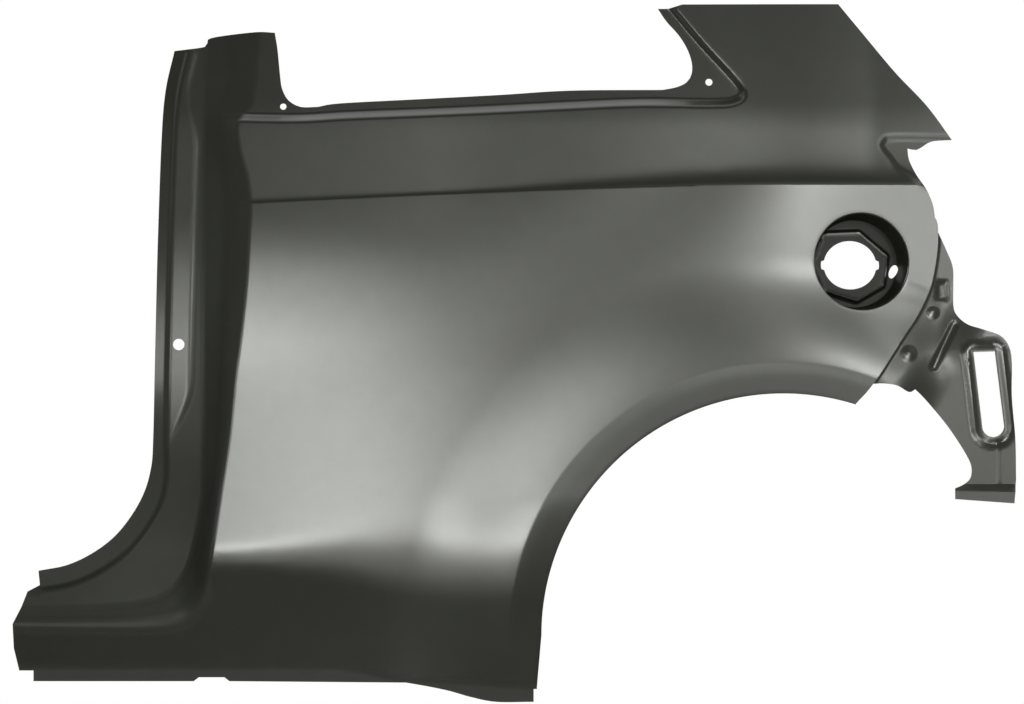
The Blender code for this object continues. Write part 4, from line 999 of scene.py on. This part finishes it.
SLOT_RIM_WIDTH = 0.008
POCKET_LOW = (1.152, 0.526)
POCKET_HIGH = (1.171, 0.556)
POCKET_DEPTH = 0.004
POCKET_WALL_WIDTH = 0.005
BRACKET_STEP = 0.0036
BRACKET_COLOUR = (0.0225, 0.0235, 0.0185)
BRACKET_DULLNESS = 0.50
BOSS_SHINE_EDGE = (0.5, 1.1)
BEAD_SHINE_EDGE = (0.2, 1.0)


def slot_loop(grow=0.0):
    """The tapered slot: a half circle at its lower end and straight sides to its square top,
    or a loop outside it."""
    angles = np.linspace(math.pi, 2 * math.pi, 19)
    arc = np.column_stack([SLOT_END[0] + (SLOT_END_RADIUS + grow) * np.cos(angles),
                           SLOT_END[1] + (SLOT_END_RADIUS + grow) * np.sin(angles)])
    left = (SLOT_TOP_LEFT[0] - grow, SLOT_TOP_LEFT[1] + grow)
    right = (SLOT_TOP_RIGHT[0] + grow, SLOT_TOP_RIGHT[1] + grow)
    sides = straight_run([tuple(arc[-1]), right, left, tuple(arc[0])], BRACKET_STEP)
    return np.vstack([arc, sides[1:-1]])


def bead_loop(distance):
    """A loop at one distance round the bead's line: two half circles and straight sides."""
    begin, end = np.array(BEAD_LINE)
    heading = math.atan2(end[1] - begin[1], end[0] - begin[0])
    angles = heading + np.linspace(0.5 * math.pi, 1.5 * math.pi, 9)
    half = distance * np.column_stack([np.cos(angles), np.sin(angles)])
    return straight_run(closed_row(np.vstack([begin + half, end - half])), BRACKET_STEP)


arch_end = arch_row(0.0, math.pi, ARCH_REAR_ANGLE)[-1]
rear_run = smooth_run([tuple(arch_end)] + REAR_EDGE, EDGE_STEP)
rear_run = rear_run[(rear_run[:, 1] > BRACKET_ARCH[0][1] - 0.001)
                    & (rear_run[:, 1] < BRACKET_TAIL[-1][1])]


def crest_distance(points):
    """Distance from the crest of the rim that runs round the slot."""
    return np.abs(np.abs(line_distance(points, closed_row(slot_loop()))) - SLOT_RIM_DISTANCE)


def bump(distance, half_width, power=2):
    """One less the square of the share of the half-width, to a power."""
    return (1 - np.minimum(distance / half_width, 1.0) ** 2) ** power


def bracket_offset(points):
    """Under the panel it follows the skin less the sheet's thickness, and beyond it steps down
    to a sloping level. Ribs, domes and a rim are added to that as bumps, and a bead and a pocket
    are taken from it. The foot steps to its own flat level."""
    x, z = points[:, 0], points[:, 1]
    step = 0.004
    skin = panel_offset(points, panel_lines)
    slope_x = (panel_offset(points + (step, 0), panel_lines) - skin) / step
    slope_z = (panel_offset(points + (0, step), panel_lines) - skin) / step
    seat = skin - (PANEL_THICKNESS + WELD_GAP) * np.sqrt(1 + slope_x ** 2 + slope_z ** 2)
    beyond = -line_distance(points, rear_run)
    level = (BRACKET_LEVEL + BRACKET_SLOPE * (BRACKET_LEVEL_X - x)
             - BRACKET_LEAN * np.maximum(z - SLOT_TOP_LEFT[1], 0))
    out = seat + (level - seat) * soft_step(beyond, BRACKET_RUN_START, BRACKET_RUN_OUT)
    out = out - EDGE_JOGGLE * soft_step(beyond, 0.0, EDGE_JOGGLE_WIDTH) * (
        1 - soft_step(beyond, 0.5 * BRACKET_RUN_OUT, BRACKET_RUN_OUT))
    for rib in RIB_LINES:
        from_rib = np.abs(line_distance(points, np.array(rib)))
        out = out + RIB_HEIGHT * bump(from_rib, RIB_HALF_WIDTH)
    for boss in BOSSES:
        from_boss = np.hypot(x - boss[0], z - boss[1])
        out = out + BOSS_HEIGHT_SHARE * boss[2] * bump(from_boss, boss[2], BOSS_FULLNESS)
    bead = np.abs(line_distance(points, np.array(BEAD_LINE)))
    out = out - BEAD_DEPTH * bump(bead, BEAD_HALF_WIDTH)
    out = out + SLOT_RIM_HEIGHT * bump(crest_distance(points), SLOT_RIM_WIDTH)
    across = np.minimum(x - POCKET_LOW[0], POCKET_HIGH[0] - x)
    up = np.minimum(z - POCKET_LOW[1], POCKET_HIGH[1] - z)
    out = out - POCKET_DEPTH * soft_step(np.minimum(across, up), 0.0, POCKET_WALL_WIDTH)
    foot = 1 - soft_step(z, FOOT_LIP_TOP, FOOT_TOP)
    return out + (FOOT_LEVEL - out) * foot


inner_run = offset_line(rear_run, BRACKET_OVERLAP)[::-1]
tail = smooth_run(BRACKET_TAIL, BRACKET_STEP)
bracket_runs = [straight_run(BRACKET_FOOT, BRACKET_STEP), tail,
                straight_run([tuple(tail[-1]), tuple(inner_run[0])], BRACKET_STEP), inner_run,
                straight_run([tuple(inner_run[-1]), BRACKET_ARCH[0]], BRACKET_STEP),
                smooth_run(BRACKET_ARCH, BRACKET_STEP), smooth_run(BRACKET_HEEL, BRACKET_STEP)]
bracket_outline = np.vstack([run[:-1] for run in bracket_runs])
bracket_rows = [rear_run] + [offset_line(rear_run, -distance)
                             for distance in (0.001, 0.002, 0.003, 0.004, 0.006)]
rib_x, rib_top = RIB_LINES[1][0]
bracket_rows += [straight_run([(x, FOOT_TOP + 0.002), (x, rib_top + 0.002)], BRACKET_STEP)
                 for x in rib_x + RIB_HALF_WIDTH * np.linspace(-1.0, 1.0, 5)]
bracket_rows += [closed_row(slot_loop(grow)) for grow in (0.002, 0.006, 0.010, 0.014)]
bracket_rows += [bead_loop(share * BEAD_HALF_WIDTH) for share in (0.2, 0.4, 0.6, 0.8, 1.0, 1.2)]
bracket_rows.append(straight_run(BEAD_LINE, BRACKET_STEP))
for boss in BOSSES:
    bracket_rows += [closed_row(ring(boss[:2], share * boss[2], 24))
                     for share in (1.15, 1.0, 0.8, 0.6, 0.4, 0.2)]
for z in (FOOT_LIP_TOP, 0.5 * (FOOT_LIP_TOP + FOOT_TOP), FOOT_TOP):
    bracket_rows.append(straight_run([(FOOT_LEFT + 0.001, z), (FOOT_RIGHT - 0.001, z)],
                                     BRACKET_STEP))
bracket_plan, bracket_triangles, _ = plan_mesh(bracket_outline, [slot_loop()], bracket_rows,
                                               BRACKET_STEP)
bracket_places = np.column_stack([bracket_plan[:, 0], -bracket_offset(bracket_plan),
                                  bracket_plan[:, 1]])
bracket = sheet_metal("rear_bracket", bracket_places, bracket_triangles.tolist(),
                      BRACKET_THICKNESS,
                      primer_paint("bracket_primer", BRACKET_COLOUR, gloss=0.25, roughness=0.29,
                                   orange_peel=0.00002, haze=0.16))

# The domes, the bead and the rim's crest are brighter than the plate round them
corners = mesh_points(bracket)[:, [0, 2]]
rubbed = np.full(len(corners), BRACKET_DULLNESS)
for boss in BOSSES:
    from_boss = np.hypot(corners[:, 0] - boss[0], corners[:, 1] - boss[1])
    rubbed *= soft_step(from_boss / boss[2], *BOSS_SHINE_EDGE)
from_bead = np.abs(line_distance(corners, np.array(BEAD_LINE)))
rubbed *= soft_step(from_bead / BEAD_HALF_WIDTH, *BEAD_SHINE_EDGE)
rubbed *= soft_step(crest_distance(corners), 0.0, SLOT_RIM_WIDTH)
rub(bracket, rubbed)
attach(bracket, "root")
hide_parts("rear_corner_bracket")
